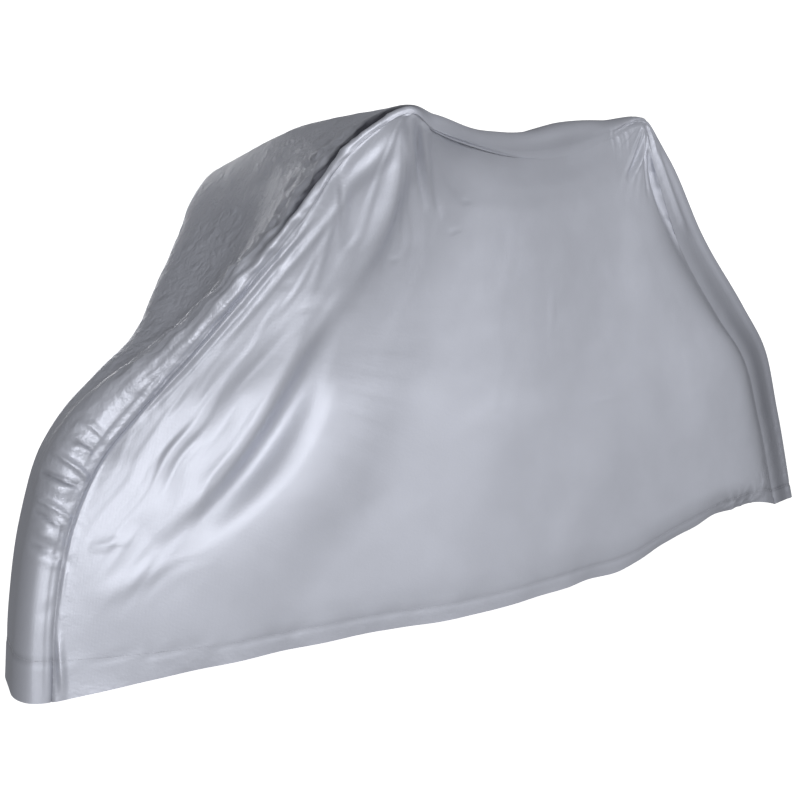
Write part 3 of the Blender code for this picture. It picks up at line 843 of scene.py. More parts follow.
def panel_base(seam, u, v, side):
    """A side panel's outer face with its main folds, and the depth of its sewn hem along its lines."""
    count = len(v)
    front = seam[count - 1 :: -1]
    top = seam[count - 1 : count - 1 + len(u)]
    rear = seam[-count:]
    table = [(hem.x, hem.z, hem.half, hem.turn, hem.low, hem.turned) for hem in HEM]
    spans = len(HEM) - 1
    fine = along_table(table, [HEM_STEPS] * spans, np.arange(HEM_STEPS * spans + 1))
    length = run_length(fine[:, :2], 0)
    wanted = length[-1] * u**HEM_BIAS
    x, z, half, turn, low, turned = (np.interp(wanted, length, values) for values in fine.T)
    bottom = np.stack([x, side.sign * half, z - (low if side.sign > 0 else 0)], axis=1)
    bottom[0] = front[-1]
    bottom[-1] = rear[-1]

    across = u[:, None]
    down = v[None, :]
    grid = np.empty((len(u), count, 3))
    for axis, side_reach, fade in ((0, 1, 1), (1, SIDE_REACH, FLARE_FADE), (2, 1, 1)):
        share = (1 - down) ** fade
        middle = share * top[:, None, axis] + (1 - share) * bottom[:, None, axis]
        at_front = front[None, :, axis] - share * top[0, axis] - (1 - share) * bottom[0, axis]
        at_rear = rear[None, :, axis] - share * top[-1, axis] - (1 - share) * bottom[-1, axis]
        grid[:, :, axis] = middle + (1 - across) ** side_reach * at_front + across**side_reach * at_rear

    height = np.linalg.norm(top - bottom, axis=1)[:, None]
    from_seam = np.minimum(down * height, np.minimum(across, 1 - across) * length[-1])
    raised = soft_step(from_seam / SEAM_FADE) * fold_height(grid[..., 0], grid[..., 2], side.folds)
    rolled = turn[:, None] * np.clip(1 - (1 - down) * height / HEM_TURN, 0, 1) ** 2
    grid[:, :, 1] += side.sign * (raised - rolled)
    return grid, turned


def seam_line(panel):
    """A panel's grid values along the gusset's edge, from the front hem to the rear hem."""
    return np.concatenate([panel[0, :0:-1], panel[:, 0], panel[-1, 1:]])


def put_seam_line(panel, values):
    """Set a panel's grid values along the gusset's edge."""
    width, height = panel.shape[:2]
    panel[0, ::-1] = values[:height]
    panel[:, 0] = values[height - 1 : height - 1 + width]
    panel[-1] = values[-height:]


# ---------------------------------------------------------------- fine forms


def seam_profile(distance, seam):
    """The groove of a seam with the roll beside it."""
    groove = -seam["depth"] * bell(distance / GROOVE_REACH)
    return groove + seam["roll"] * bell((distance - ROLL_PLACE) / ROLL_REACH)


def hem_relief(from_hem, turned, gathers, sizes):
    """Height of a turned hem, and how close each point is to its sewn line, from 0 to 1."""
    sewn = bell((from_hem - turned) / SEWN_REACH)
    height = sizes.hem_layer * soft_step((turned - from_hem) / HEM_STEP + 0.5)
    height += GATHER_HEIGHT * gathers * bell((from_hem - turned) / GATHER_REACH)
    return height - SEWN_DEPTH * sewn, sewn


def panel_edges(base):
    """For a panel's front, top and rear: its part of the gusset's edge, the shape that sets this beside
    the panel's grid, and the distance of each point from it."""
    lines, count = base.shape[:2]
    from_front = run_length(base, 0)
    return (
        (slice(count - 1, None, -1), (None, slice(None)), from_front),
        (slice(count - 1, count - 1 + lines), (slice(None), None), run_length(base, 1)),
        (slice(-count, None), (None, slice(None)), from_front[-1:] - from_front),
    )


def beside_seams(edges, side, seam_run, seam, place_length):
    """Height of the forms along a panel's seams, and the painted shade that each point gets there from
    the seam's groove and from the dark band beside it.
    """
    height, groove, rounding, deep, shaded = np.zeros((5,) + edges[0][2].shape)
    for number, (part, shape, distance) in enumerate(edges):
        length = np.broadcast_to(seam_run[part][shape], distance.shape)
        beside = {name: values[part][shape] for name, values in seam.items()}
        profile = seam_profile(distance, beside)
        groove = np.where(np.abs(profile) > np.abs(groove), profile, groove)
        rounding = np.maximum(rounding, beside["ease"] * bell(distance / EASE_REACH))
        # Painted shade in the seam's groove, darker the deeper the groove.
        groove_painted_shade = beside["depth"] / GROOVE_FULL_DARK * bell(distance / GROOVE_SHADE_REACH)
        deep = np.maximum(deep, groove_painted_shade)
        # Painted shade beside the seam, from the seam table's dark share.
        shaded = np.maximum(shaded, beside["dark"] * bell(distance / SEAM_PAINTED_SHADE_REACH))
        fine = pucker_height(length, distance, side.seam_puckers, place_length, side.seed * 100 + number)
        fine += band_height(length, distance, side.bands, place_length)
        height += fine * soft_step(distance / PUCKER_FADE)
    return height + groove - rounding, deep, shaded


def panel_relief(base, turned, side, seam_run, seam, place_length, sizes):
    """Height of the fine forms on a side panel, the share of painted shade that each point gets in its
    creases and seams, and how finely crumpled it is, both from 0 to 1."""
    x = base[..., 0]
    z = base[..., 2]
    edges = panel_edges(base)
    from_front, from_top, from_rear = (distance for _, _, distance in edges)
    nearest = np.minimum(np.minimum(from_front, from_rear), from_top)
    height, deep, shaded = beside_seams(edges, side, seam_run, seam, place_length)
    height += soft_step(nearest / CREASE_FADE) * fold_height(x, z, side.creases, 1.0)
    height += soft_step(nearest / FAN_FADE) * fan_height(x, z, FANS, side.seed * 10)
    height += soft_step(nearest / FAN_FADE) * streak_height(x, z, side.streaks, side.seed * 10 + 5)
    height += tick_height(x, z, side.ticks)
    for number, wave in enumerate(PANEL_SWELLS):
        swell = wave.share * field_noise(x / wave.across, z / wave.along, side.seed + number)
        height += sizes.swell * swell * soft_step(nearest / PANEL_SWELL_FADE)

    from_hem = from_top[:, -1:] - from_top
    hem_run = from_front[:, -1:]
    gathers = line_noise(hem_run / PANEL_GATHER_PITCH + GATHER_SLANT * from_hem, side.seed + 3)
    hem, sewn = hem_relief(from_hem, turned[:, None], gathers, sizes)
    edge_wave = line_noise(hem_run / EDGE_WAVE_PITCH, side.seed + 4) * np.exp(-from_hem / EDGE_WAVE_REACH)
    height += hem + EDGE_WAVE_HEIGHT * edge_wave

    corner = np.zeros_like(height)
    for patch in REAR_PATCHES:
        inside = bell((x - patch.x) / patch.half_x) * bell((z - patch.z) / patch.half_z)
        corner = np.maximum(corner, inside)
    rumpled = crumple_noise(x / RUMPLE_SIZE[0], z / RUMPLE_SIZE[1], side.seed + 5)
    height += RUMPLE_HEIGHT * corner * rumpled
    # Painted shade in the hollows of the rumpled rear corner.
    shaded = np.maximum(shaded, CORNER_PAINTED_SHADE * corner * soft_step(0.5 - rumpled))
    wrinkled = bell(nearest / FRONT_WRINKLES_REACH)
    wrinkled = wrinkled * soft_step((FRONT_WRINKLES_END - x) / FRONT_WRINKLES_END)
    wrinkled = np.maximum(wrinkled, bell(from_hem / HEM_WRINKLES_REACH))
    crumpled = np.maximum(CORNER_CRUMPLED * corner, EDGE_CRUMPLED * wrinkled)
    # Marks: painted shade from the seam's groove, the sewn line and the dark bands, then the crumpled share.
    return height, np.clip(GROOVE_PAINTED_SHADE * deep + SEWN_LINE_PAINTED_SHADE * sewn + shaded, 0, 1), crumpled


def between(rows, start, end, soft):
    """1 on the gusset's rows between two places, fading over a number of rows at both ends."""
    begins = soft_step((rows - place_row(start)) / soft + 0.5)
    ends = soft_step((place_row(end) - rows) / soft + 0.5)
    return (begins * ends)[:, None]


def ridge_wrinkles(rows, length, from_left):
    """Height of the long wrinkles that run beside the left ridge of the front face."""
    ridge = between(rows, "wheel shoulder", "upper face", FACE_SOFT)
    long, wide = RIDGE_WANDER_SIZE
    wander = RIDGE_WANDER * field_noise(length / long, from_left / wide, GUSSET_SEED + 1)
    wave = 0.5 + 0.5 * np.cos(2 * math.pi * from_left / RIDGE_PITCH + wander)
    long, wide = RIDGE_UNEVEN_SIZE
    uneven = RIDGE_UNEVEN * field_noise(length / long, from_left / wide, GUSSET_SEED + 3)
    inside = soft_step(from_left / PUCKER_FADE) * bell((from_left - RIDGE_DISTANCE) / RIDGE_REACH)
    return RIDGE_HEIGHT * ridge * (1 - RIDGE_UNEVEN + uneven) * inside * (wave**RIDGE_SHARP - RIDGE_SUNK)


def crevice_relief(rows, from_left):
    """Depth of the crevice along the left edge of the front face with the notch below it, and the painted
    shade that darkens both."""
    places = [place_row(step.place) for step in CREVICE]
    middle = np.interp(rows, places, [step.distance for step in CREVICE])[:, None]
    depth = np.interp(rows, places, [step.depth for step in CREVICE])[:, None]
    width = np.interp(rows, places, [step.width for step in CREVICE])[:, None]
    away = (from_left - middle) / width
    # Painted shade beside the crevice, a little further from the seam than its middle.
    shade = bell((away - CREVICE_SHADE_SHIFT) / CREVICE_SHADE_WIDTH) * depth / CREVICE_FULL_DARK
    notch = bell((rows[:, None] - NOTCH.row) / NOTCH.rows)
    notch = notch * bell((from_left - NOTCH.distance) / NOTCH.width)
    return depth * bell(away) + NOTCH.depth * notch, CREVICE_PAINTED_SHADE * shade + NOTCH_PAINTED_SHADE * notch


def face_crumples(rows, y, length, from_left, face):
    """Height of the gusset's crumpled patches and of its face's broad crumple, as shares of the set one."""
    height = np.zeros_like(length)
    for patch in CRUMPLES:
        inside = between(rows, patch.start, patch.end, FACE_SOFT)
        inside = inside * bell((from_left - patch.distance) / patch.reach)
        crumple = crumple_noise(length / patch.long, from_left / patch.wide, GUSSET_SEED + patch.seed)
        height += patch.share * inside * crumple
    calm = 1 - FACE_CALM * soft_step((y - FACE_CALM_START) / FACE_CALM_WIDTH)
    long, wide = FACE_CRUMPLE_SIZE
    crumple = crumple_noise(length / long, y / wide, GUSSET_SEED + 21)
    return height + FACE_CRUMPLE_SHARE * face * calm * crumple


def gusset_relief(base, spots, rows, seam_run, seam, place_length, sizes):
    """Height of the fine forms on the gusset, the share of painted shade that each point gets in its
    creases and seams, and how finely crumpled it is, both from 0 to 1."""
    x, y, z = np.moveaxis(base, -1, 0)
    from_left = run_length(base, 1)
    from_right = from_left[:, -1:] - from_left
    nearest = np.minimum(from_left, from_right)
    length = np.broadcast_to(seam_run[:, None], nearest.shape)
    beside = {name: values[:, None] for name, values in seam.items()}
    height = seam_profile(nearest, beside) - beside["ease"] * bell(nearest / EASE_REACH)

    on_left_flank = (spots[:, 0] < 0) & (spots[:, 2] > UPRIGHT_TURN)
    wheel = soft_step(from_left / PUCKER_FADE) * fold_height(x, z, WHEEL_CREASES, WHEEL_TAPER)
    wheel = wheel * on_left_flank
    height += wheel
    for side, distance in zip(SIDES, (from_left, from_right)):
        fine = pucker_height(length, distance, side.seam_puckers, place_length, side.seed * 100 + 31)
        height += fine * soft_step(distance / PUCKER_FADE)
    height += soft_step(from_left / BAND_FADE) * band_height(length, from_left, GUSSET_BANDS, place_length)

    face = between(rows, "neck", "grips", FACE_SOFT)
    crevice, crevice_painted_shade = crevice_relief(rows, from_left)
    height += ridge_wrinkles(rows, length, from_left) - crevice
    height += sizes.crumple * face_crumples(rows, y, length, from_left, face)
    wave = field_noise(length / GUSSET_SWELL.across, y / GUSSET_SWELL.along, GUSSET_SEED + 31)
    height += GUSSET_SWELL.share * sizes.swell * wave * soft_step(nearest / SWELL_FADE)

    # Painted shade in the seam's groove, darker the deeper the groove.
    deep = GROOVE_PAINTED_SHADE * beside["depth"] / GROOVE_FULL_DARK * bell(nearest / GROOVE_SHADE_REACH)
    # Painted shade from the crevice and the notch, and in the troughs of the wheel's wrinkles.
    deep = deep + crevice_painted_shade + WHEEL_PAINTED_SHADE * np.clip(-wheel / WHEEL_FULL_DARK, 0, 1)
    # Painted shade beside the seams, from the seam table's dark share, reaching further where it is darker.
    dark = beside["dark"]
    gain = DARK_AT_SEAM + DARK_GAIN * soft_step(nearest / DARK_GAIN_FADE)
    deep += dark * gain * bell(nearest / (SEAM_PAINTED_SHADE_REACH * (DARK_LEAST_REACH + DARK_WIDENING * dark)))
    crumpled = FACE_CRUMPLED * face * (1 - bell(from_left / CALM_BESIDE_RIDGE))
    crumpled = np.maximum(crumpled, WHEEL_CRUMPLED * between(rows, "hub height", "mid face", WHEEL_SOFT))
    crumpled = np.maximum(crumpled, REAR_CRUMPLED * between(rows, "rear wheel", "rear hem", REAR_SOFT))
    for number, (place, turned) in enumerate(GUSSET_HEMS.items()):
        gathers = line_noise(y / GUSSET_GATHER_PITCH, GUSSET_SEED + 41 + number)
        hem, sewn = hem_relief(np.abs(length - place_length(place)), turned, gathers, sizes)
        height += hem
        # Painted shade along the groove of the sewn line.
        deep += SEWN_LINE_PAINTED_SHADE * sewn
    return height, np.clip(deep, 0, 1), crumpled


def turned_in(gusset, spots, amount):
    """The gusset with its sides turned in behind the seam, and its ridge moved out to make up for it."""
    side, _, angle, flank, _ = spots.T
    above_seam = amount[:, None] * (1 - flank)
    inwards = above_seam * (TURN_AT_CORNER + (1 - TURN_AT_CORNER) * np.sin(angle)) * (angle > 0)
    moved = gusset.copy()
    moved[..., 1] -= side * inwards
    moved[..., 0] += RIDGE_OUT_BY_TURN * inwards + RIDGE_OUT_ABOVE_SEAM * above_seam
    return moved


def grid_shares():
    """Shares of a panel's lines along it and of its rows down it, and the gusset's rows that meet them."""
    t = np.linspace(0, 1, PANEL_LINES + 1)
    u = t - END_CROWDING * np.sin(2 * math.pi * t) / (2 * math.pi)
    v = np.linspace(0, 1, PANEL_ROWS + 1) ** TOP_CROWDING
    first, last, end = (place_row(place) for place in (FRONT_TOP, REAR_TOP, "rear hem"))
    rows = [first * (1 - v[:0:-1]), first + (last - first) * u, last + (end - last) * v[1:]]
    return u, v, np.concatenate(rows)


def place_finder(rows, run):
    """A function that gives the length along a seam at a named place."""
    return lambda place: float(np.interp(place_row(place), rows, run))


@functools.cache
def cover_grids():
    """The outer and inner grid of each sheet, its marks and the depth of its hem, by its name."""
    sizes = bpy.context.scene.cover_sizes
    u, v, rows = grid_shares()
    places = [place_row(step.place) for step in SEAM]
    seam = {
        name: np.interp(rows, places, [getattr(step, name) for step in SEAM])
        for name in Seam._fields[1:]
    }
    spots = gusset_spots()
    gusset = turned_in(gusset_base(rows, spots), spots, seam["turn_in"])
    gusset_out = normals(gusset)
    seam_run = run_length(gusset[:, 0], 0)
    relief, *gusset_marks = gusset_relief(
        gusset, spots, rows, seam_run, seam, place_finder(rows, seam_run), sizes
    )
    cloth = gusset + relief[..., None] * gusset_out
    grids = {}
    inner_edges = []
    for side, column in zip(SIDES, (0, -1)):
        line = gusset[:, column]
        seam_run = run_length(line, 0)
        base, turned = panel_base(line, u, v, side)
        outwards = side.sign * normals(base)
        height, *marks = panel_relief(
            base, turned, side, seam_run, seam, place_finder(rows, seam_run), sizes
        )
        panel = base + height[..., None] * outwards
        mitre = unit(gusset_out[:, column] + seam_line(outwards))
        mitre /= np.clip(np.sum(mitre * seam_line(outwards), axis=1), LEAST_MITRE, 1)[:, None]
        sewn = line - (seam["depth"] + seam["ease"])[:, None] * mitre
        put_seam_line(panel, sewn)
        inner = panel - sizes.thickness * side.sign * normals(panel)
        inner_edges.append(sewn - sizes.thickness * mitre)
        put_seam_line(inner, inner_edges[-1])
        cloth[:, column] = sewn
        grids[side.name] = (panel, inner, marks, turned)
    inner = cloth - sizes.thickness * normals(cloth)
    inner[:, 0], inner[:, -1] = inner_edges
    grids[GUSSET_NAME] = (cloth, inner, gusset_marks, None)
    return grids


def add_sheet(name, outer, inner, marks, flip, pattern):
    """One closed sheet of cloth between two grids, with its marks and its pattern's place."""
    width, height = outer.shape[:2]
    number = np.arange(width * height).reshape(width, height)
    quads = np.stack([number[:-1, :-1], number[1:, :-1], number[1:, 1:], number[:-1, 1:]], axis=-1)
    quads = quads.reshape(-1, 4)
    loop = np.concatenate([number[:-1, 0], number[-1, :-1], number[:0:-1, -1], number[0, :0:-1]])
    following = np.roll(loop, -1)
    count = width * height
    rim = np.stack([loop, loop + count, following + count, following], axis=-1)
    faces = np.concatenate([quads, quads[:, ::-1] + count, rim])
    if flip:
        faces = faces[:, ::-1]
    points = np.concatenate([outer.reshape(-1, 3), inner.reshape(-1, 3)]) - SADDLE
    mesh = bpy.data.meshes.new(name)
    mesh.from_pydata(points.tolist(), [], faces.tolist())
    # The crease mark is the share of painted shade, the crumple mark how finely crumpled the cloth is.
    for mark, values in zip(("crease", "crumple"), marks):
        mesh.attributes.new(mark, "FLOAT", "POINT").data.foreach_set(
            "value", np.tile(values.reshape(-1), 2).astype(np.float32)
        )
    layer = mesh.uv_layers.new(name="Cloth")
    corners = np.empty(len(mesh.loops), dtype=np.int32)
    mesh.loops.foreach_get("vertex_index", corners)
    place = np.tile(pattern.reshape(-1, 2), (2, 1))[corners]
    layer.data.foreach_set("uv", place.astype(np.float32).reshape(-1))
    mesh.shade_smooth()
    ends = np.empty(2 * len(mesh.edges), dtype=np.int32)
    mesh.edges.foreach_get("vertices", ends)
    on_rim = np.isin(ends.reshape(-1, 2), np.concatenate([loop, loop + count])).all(axis=1)
    mesh.attributes.new("sharp_edge", "BOOLEAN", "EDGE").data.foreach_set("value", on_rim)
    sheet = bpy.data.objects.new(name, mesh)
    bpy.context.scene.collection.objects.link(sheet)
    return sheet


# ---------------------------------------------------------------- finishes


class Wire:
    """A shader value that can be used in sums, and the tree that it belongs to."""

    def __init__(self, tree, socket=None):
        self.tree = tree
        self.socket = socket

    def feed(self, node, inputs):
        """Set a node's inputs, each to a number, a colour or a wire."""
        for name, value in inputs.items():
            if isinstance(value, Wire):
                self.tree.links.new(value.socket, node.inputs[name])
            else:
                node.inputs[name].default_value = value

    def node(self, kind, output=0, settings=None, inputs=None):
        """A new node with its settings and its inputs."""
        made = self.tree.nodes.new(kind)
        for name, value in (settings or {}).items():
            setattr(made, name, value)
        self.feed(made, inputs or {})
        return Wire(self.tree, made.outputs[output])

    def math(self, operation, other, swapped=False):
        """A Math node on this value and another, or on the other and this one when swapped."""
        first, second = (other, self) if swapped else (self, other)
        return self.node("ShaderNodeMath", 0, {"operation": operation}, {0: first, 1: second})

    def __add__(self, other):
        return self.math("ADD", other)

    def __radd__(self, other):
        return self.math("ADD", other, swapped=True)

    def __sub__(self, other):
        return self.math("SUBTRACT", other)

    def __rsub__(self, other):
        return self.math("SUBTRACT", other, swapped=True)

    def __mul__(self, other):
        return self.math("MULTIPLY", other)

    def __rmul__(self, other):
        return self.math("MULTIPLY", other, swapped=True)

    def __abs__(self):
        return self.math("ABSOLUTE", 0.0)


def noise(wires, place, scale, detail):
    """Random values from 0 to 1 at a number of changes per metre."""
    inputs = {"Vector": place, "Scale": scale, "Detail": detail, "Roughness": NOISE_ROUGHNESS}
    return wires.node("ShaderNodeTexNoise", "Fac", None, inputs)


def blend(wires, share, first, second):
    """A colour between two colours."""
    return wires.node("ShaderNodeMix", 2, {"data_type": "RGBA"}, {0: share, 6: first, 7: second})


def new_finish(name):
    """A new material, its shader, its wires and the place of each point on the object."""
    material = bpy.data.materials.new(name)
    material.use_nodes = True
    wires = Wire(material.node_tree)
    shader = material.node_tree.nodes["Principled BSDF"]
    return material, shader, wires, wires.node("ShaderNodeTexCoord", "Object")


def coated_cloth(name, tone):
    """Silver coated cloth: fine weave, faint mottling, and painted shade in the seams, grooves and
    folds. tone: lightness.
    """
    colours = bpy.context.scene.cover_colours
    material, shader, wires, place = new_finish(name)
    on_cloth = wires.node("ShaderNodeUVMap", 0, {"uv_map": "Cloth"})
    # The crease attribute holds the share of painted shade at each point.
    crease = wires.node("ShaderNodeAttribute", "Fac", {"attribute_name": "crease"})
    crumple = wires.node("ShaderNodeAttribute", "Fac", {"attribute_name": "crumple"})
    mottle = noise(wires, place, MOTTLE_SCALE, 3.0)
    grain = noise(wires, place, GRAIN_SCALE, 2.0)
    foil = abs(noise(wires, place, FOIL_SCALE, 4.0) - 0.5)

    base = [tone * value for value in colours.cloth] + [1.0]
    worn = [WORN_SHARE * value for value in base[:3]] + [1.0]
    # Painted shade: the crease share blends the mottled cloth towards the dark crease colour.
    deep = list(colours.crease) + [1.0]
    colour = blend(wires, crease, blend(wires, mottle, worn, base), deep)
    uneven = mottle * MOTTLE_ROUGHNESS + grain * GRAIN_ROUGHNESS
    even = colours.roughness - 0.5 * (MOTTLE_ROUGHNESS + GRAIN_ROUGHNESS)

    relief = grain * GRAIN_RELIEF
    for way in "XY":
        inputs = {"Vector": on_cloth, "Scale": THREAD_SCALE}
        threads = wires.node("ShaderNodeTexWave", "Fac", {"bands_direction": way}, inputs)
        relief = relief + threads * THREAD_RELIEF
    relief = relief + crumple * foil * FOIL_RELIEF
    bumps = {"Height": relief, "Strength": BUMP_STRENGTH, "Distance": BUMP_DISTANCE}
    finish = {
        "Base Color": colour,
        "Roughness": uneven + even,
        "Metallic": colours.metal_share,
        "Specular IOR Level": CLOTH_SHINE,
        "Normal": wires.node("ShaderNodeBump", "Normal", None, bumps),
    }
    wires.feed(shader, finish)
    return material


def plain_finish(name, colour, roughness):
    """One colour with a faint unevenness."""
    material, shader, wires, place = new_finish(name)
    light = list(colour) + [1.0]
    dark = [PLAIN_DARKER * value for value in colour] + [1.0]
    mixed = blend(wires, noise(wires, place, PLAIN_SCALE, 2.0), dark, light)
    wires.feed(shader, {"Base Color": mixed, "Roughness": roughness})
    return material


# ---------------------------------------------------------------- sewing


def stitch_tree(material):
    """Geometry nodes that set a stitch at each step along rows of points."""
    tree = bpy.data.node_groups.new("Stitches along rows", "GeometryNodeTree")
    sockets = {}
    for name, kind in (
        ("Rows", "NodeSocketGeometry"),
        ("Pitch", "NodeSocketFloat"),
        ("Length", "NodeSocketFloat"),
        ("Width", "NodeSocketFloat"),
    ):
        sockets[name] = tree.interface.new_socket(name, in_out="INPUT", socket_type=kind)
    tree.interface.new_socket("Stitches", in_out="OUTPUT", socket_type="NodeSocketGeometry")
    nodes = tree.nodes
    given = nodes.new("NodeGroupInput")
    made = nodes.new("NodeGroupOutput")
    curve = nodes.new("GeometryNodeMeshToCurve")
    even = nodes.new("GeometryNodeResampleCurve")
    even.mode = "LENGTH"
    stitch = nodes.new("GeometryNodeMeshIcoSphere")
    stitch.inputs["Radius"].default_value = 0.5
    stitch.inputs["Subdivisions"].default_value = 1
    tangent = nodes.new("GeometryNodeInputTangent")
    turn = nodes.new("FunctionNodeAlignRotationToVector")
    turn.axis = "Z"
    scale = nodes.new("ShaderNodeCombineXYZ")
    place = nodes.new("GeometryNodeInstanceOnPoints")
    whole = nodes.new("GeometryNodeRealizeInstances")
    finish = nodes.new("GeometryNodeSetMaterial")
    finish.inputs["Material"].default_value = material
    for source, output, target, wanted in (
        (given, "Rows", curve, "Mesh"),
        (curve, "Curve", even, "Curve"),
        (given, "Pitch", even, "Length"),
        (even, "Curve", place, "Points"),
        (stitch, "Mesh", place, "Instance"),
        (tangent, "Tangent", turn, "Vector"),
        (turn, "Rotation", place, "Rotation"),
        (given, "Width", scale, "X"),
        (given, "Width", scale, "Y"),
        (given, "Length", scale, "Z"),
        (scale, "Vector", place, "Scale"),
        (place, "Instances", whole, "Geometry"),
        (whole, "Geometry", finish, "Geometry"),
        (finish, "Geometry", made, "Stitches"),
    ):
        tree.links.new(source.outputs[output], target.inputs[wanted])
    return tree, sockets


def line_at(grid, outwards, position, lift):
    """A line across a grid's second axis, at a position for each line of the first, lifted off the cloth."""
    index = np.clip(position, 0, grid.shape[1] - 1.001)
    low = np.floor(index).astype(int)
    share = (index - low)[:, None]
    lines = np.arange(len(grid))
    point = grid[lines, low] * (1 - share) + grid[lines, low + 1] * share
    out = outwards[lines, low] * (1 - share) + outwards[lines, low + 1] * share
    return point + lift * out


def sewn_row(grid, outwards, from_hem, turned, lift):
    """The points of a row of stitches, one for each line of a grid, at the depth of its hem."""
    order = slice(None) if from_hem[0, 0] == 0 else slice(None, None, -1)
    steps = np.arange(grid.shape[1])[order]
    position = [np.interp(depth, run[order], steps) for depth, run in zip(turned, from_hem)]
    return line_at(grid, outwards, np.array(position), lift)[1:-1]


def hem_rows():
    """The points of each row of hem stitches, in the cloth's own frame."""
    grids = cover_grids()
    lift = STITCH_LIFT * bpy.context.scene.cover_sizes.stitch_width
    rows = []
    for side in SIDES:
        panel, _, _, turned = grids[side.name]
        from_hem = run_length(panel[:, ::-1], 1)[:, ::-1]
        rows.append(sewn_row(panel, side.sign * normals(panel), from_hem, turned, lift))
    gusset = grids[GUSSET_NAME][0]
    across = np.swapaxes(gusset, 0, 1)
    outwards = np.swapaxes(normals(gusset), 0, 1)
    run = run_length(across, 1)
    for from_hem, depth in zip((run, run[:, -1:] - run), GUSSET_HEMS.values()):
        rows.append(sewn_row(across, outwards, from_hem, [depth] * len(across), lift))
    return [row - SADDLE for row in rows]


def add_stitches(name, rows, material):
    """One mesh of all the stitches along the rows."""
    sizes = bpy.context.scene.cover_sizes
    points = np.concatenate(rows)
    edges = []
    first = 0
    for row in rows:
        edges += [(first + k, first + k + 1) for k in range(len(row) - 1)]
        first += len(row)
    mesh = bpy.data.meshes.new(name + "_rows")
    mesh.from_pydata(points.tolist(), edges, [])
    carrier = bpy.data.objects.new(name + "_rows", mesh)
    bpy.context.scene.collection.objects.link(carrier)
    tree, sockets = stitch_tree(material)
    modifier = carrier.modifiers.new("Stitches", "NODES")
    modifier.node_group = tree
    modifier[sockets["Pitch"].identifier] = sizes.stitch_pitch
    modifier[sockets["Length"].identifier] = sizes.stitch_length
    modifier[sockets["Width"].identifier] = sizes.stitch_width
    evaluated = carrier.evaluated_get(bpy.context.evaluated_depsgraph_get())
    stitches = bpy.data.objects.new(name, bpy.data.meshes.new_from_object(evaluated))
    carrier.modifiers.remove(modifier)
    bpy.data.objects.remove(carrier)
    bpy.data.node_groups.remove(tree)
    if not stitches.data.polygons:
        raise RuntimeError(name + " came out empty")
    stitches.data.shade_smooth()
    bpy.context.scene.collection.objects.link(stitches)
    return stitches


# ---------------------------------------------------------------- operators


class COVER_OT_side_panels(bpy.types.Operator):
    """Make both side panels of the cover"""

    bl_idname = "cover.side_panels"
    bl_label = "Side panels"

    def execute(self, context):
        # The right panel gets the darker painted-shade copy of the cloth.
        for side, tone in zip(SIDES, (LEFT_TONE, SHADED_COPY_TONE)):
            outer, inner, marks, _ = cover_grids()[side.name]
            pattern = outer[..., (0, 2)]
            sheet = add_sheet(side.name, outer, inner, marks, side.sign < 0, pattern)
            sheet.data.materials.append(coated_cloth(side.name, tone))
            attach(sheet, "root")
            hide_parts(side.node)
        return {"FINISHED"}


class COVER_OT_centre_gusset(bpy.types.Operator):
    """Make the long centre gusset of the cover"""

    bl_idname = "cover.centre_gusset"
    bl_label = "Centre gusset"

    def execute(self, context):
        outer, inner, marks, _ = cover_grids()[GUSSET_NAME]
        along = np.broadcast_to(run_length(outer, 0)[:, :1], outer.shape[:2])
        pattern = np.stack([outer[..., 1], along], axis=-1)
        sheet = add_sheet(GUSSET_NAME, outer, inner, marks, False, pattern)
        sheet.data.materials.append(coated_cloth(GUSSET_NAME, SHADED_COPY_TONE))
        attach(sheet, "root")
        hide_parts("centre_gusset")
        return {"FINISHED"}


class COVER_OT_stitching(bpy.types.Operator):
    """Sew the hems of the cover"""

    bl_idname = "cover.stitching"
    bl_label = "Hem stitching"

    def execute(self, context):
        colours = context.scene.cover_colours
        thread = plain_finish("sewing_thread", colours.thread, THREAD_ROUGHNESS)
        stitches = add_stitches("hem_stitches", hem_rows(), thread)
        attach(stitches, "root")
        return {"FINISHED"}


class COVER_OT_studio(bpy.types.Operator):
    """Make the floor, the lights and the camera"""

    bl_idname = "cover.studio"
    bl_label = "Studio"

    def execute(self, context):
        add_backdrop(context.scene)
        add_lights(context.scene)
        add_camera(context.scene)
        return {"FINISHED"}


# ---------------------------------------------------------------- studio


def aim(yaw, pitch, roll):
    """The turn of a camera that looks along +Y at yaw 0, from its three angles in degrees."""
    yaw, pitch, roll = (math.radians(angle) for angle in (yaw, pitch, roll))
    forward = Vector(
        (math.sin(yaw) * math.cos(pitch), math.cos(yaw) * math.cos(pitch), math.sin(pitch))
    )
    right = Vector((math.cos(yaw), -math.sin(yaw), 0))
    up = right.cross(forward)
    turned_right = right * math.cos(roll) + up * math.sin(roll)
    turned_up = up * math.cos(roll) - right * math.sin(roll)
    return Matrix((turned_right, turned_up, -forward)).transposed()


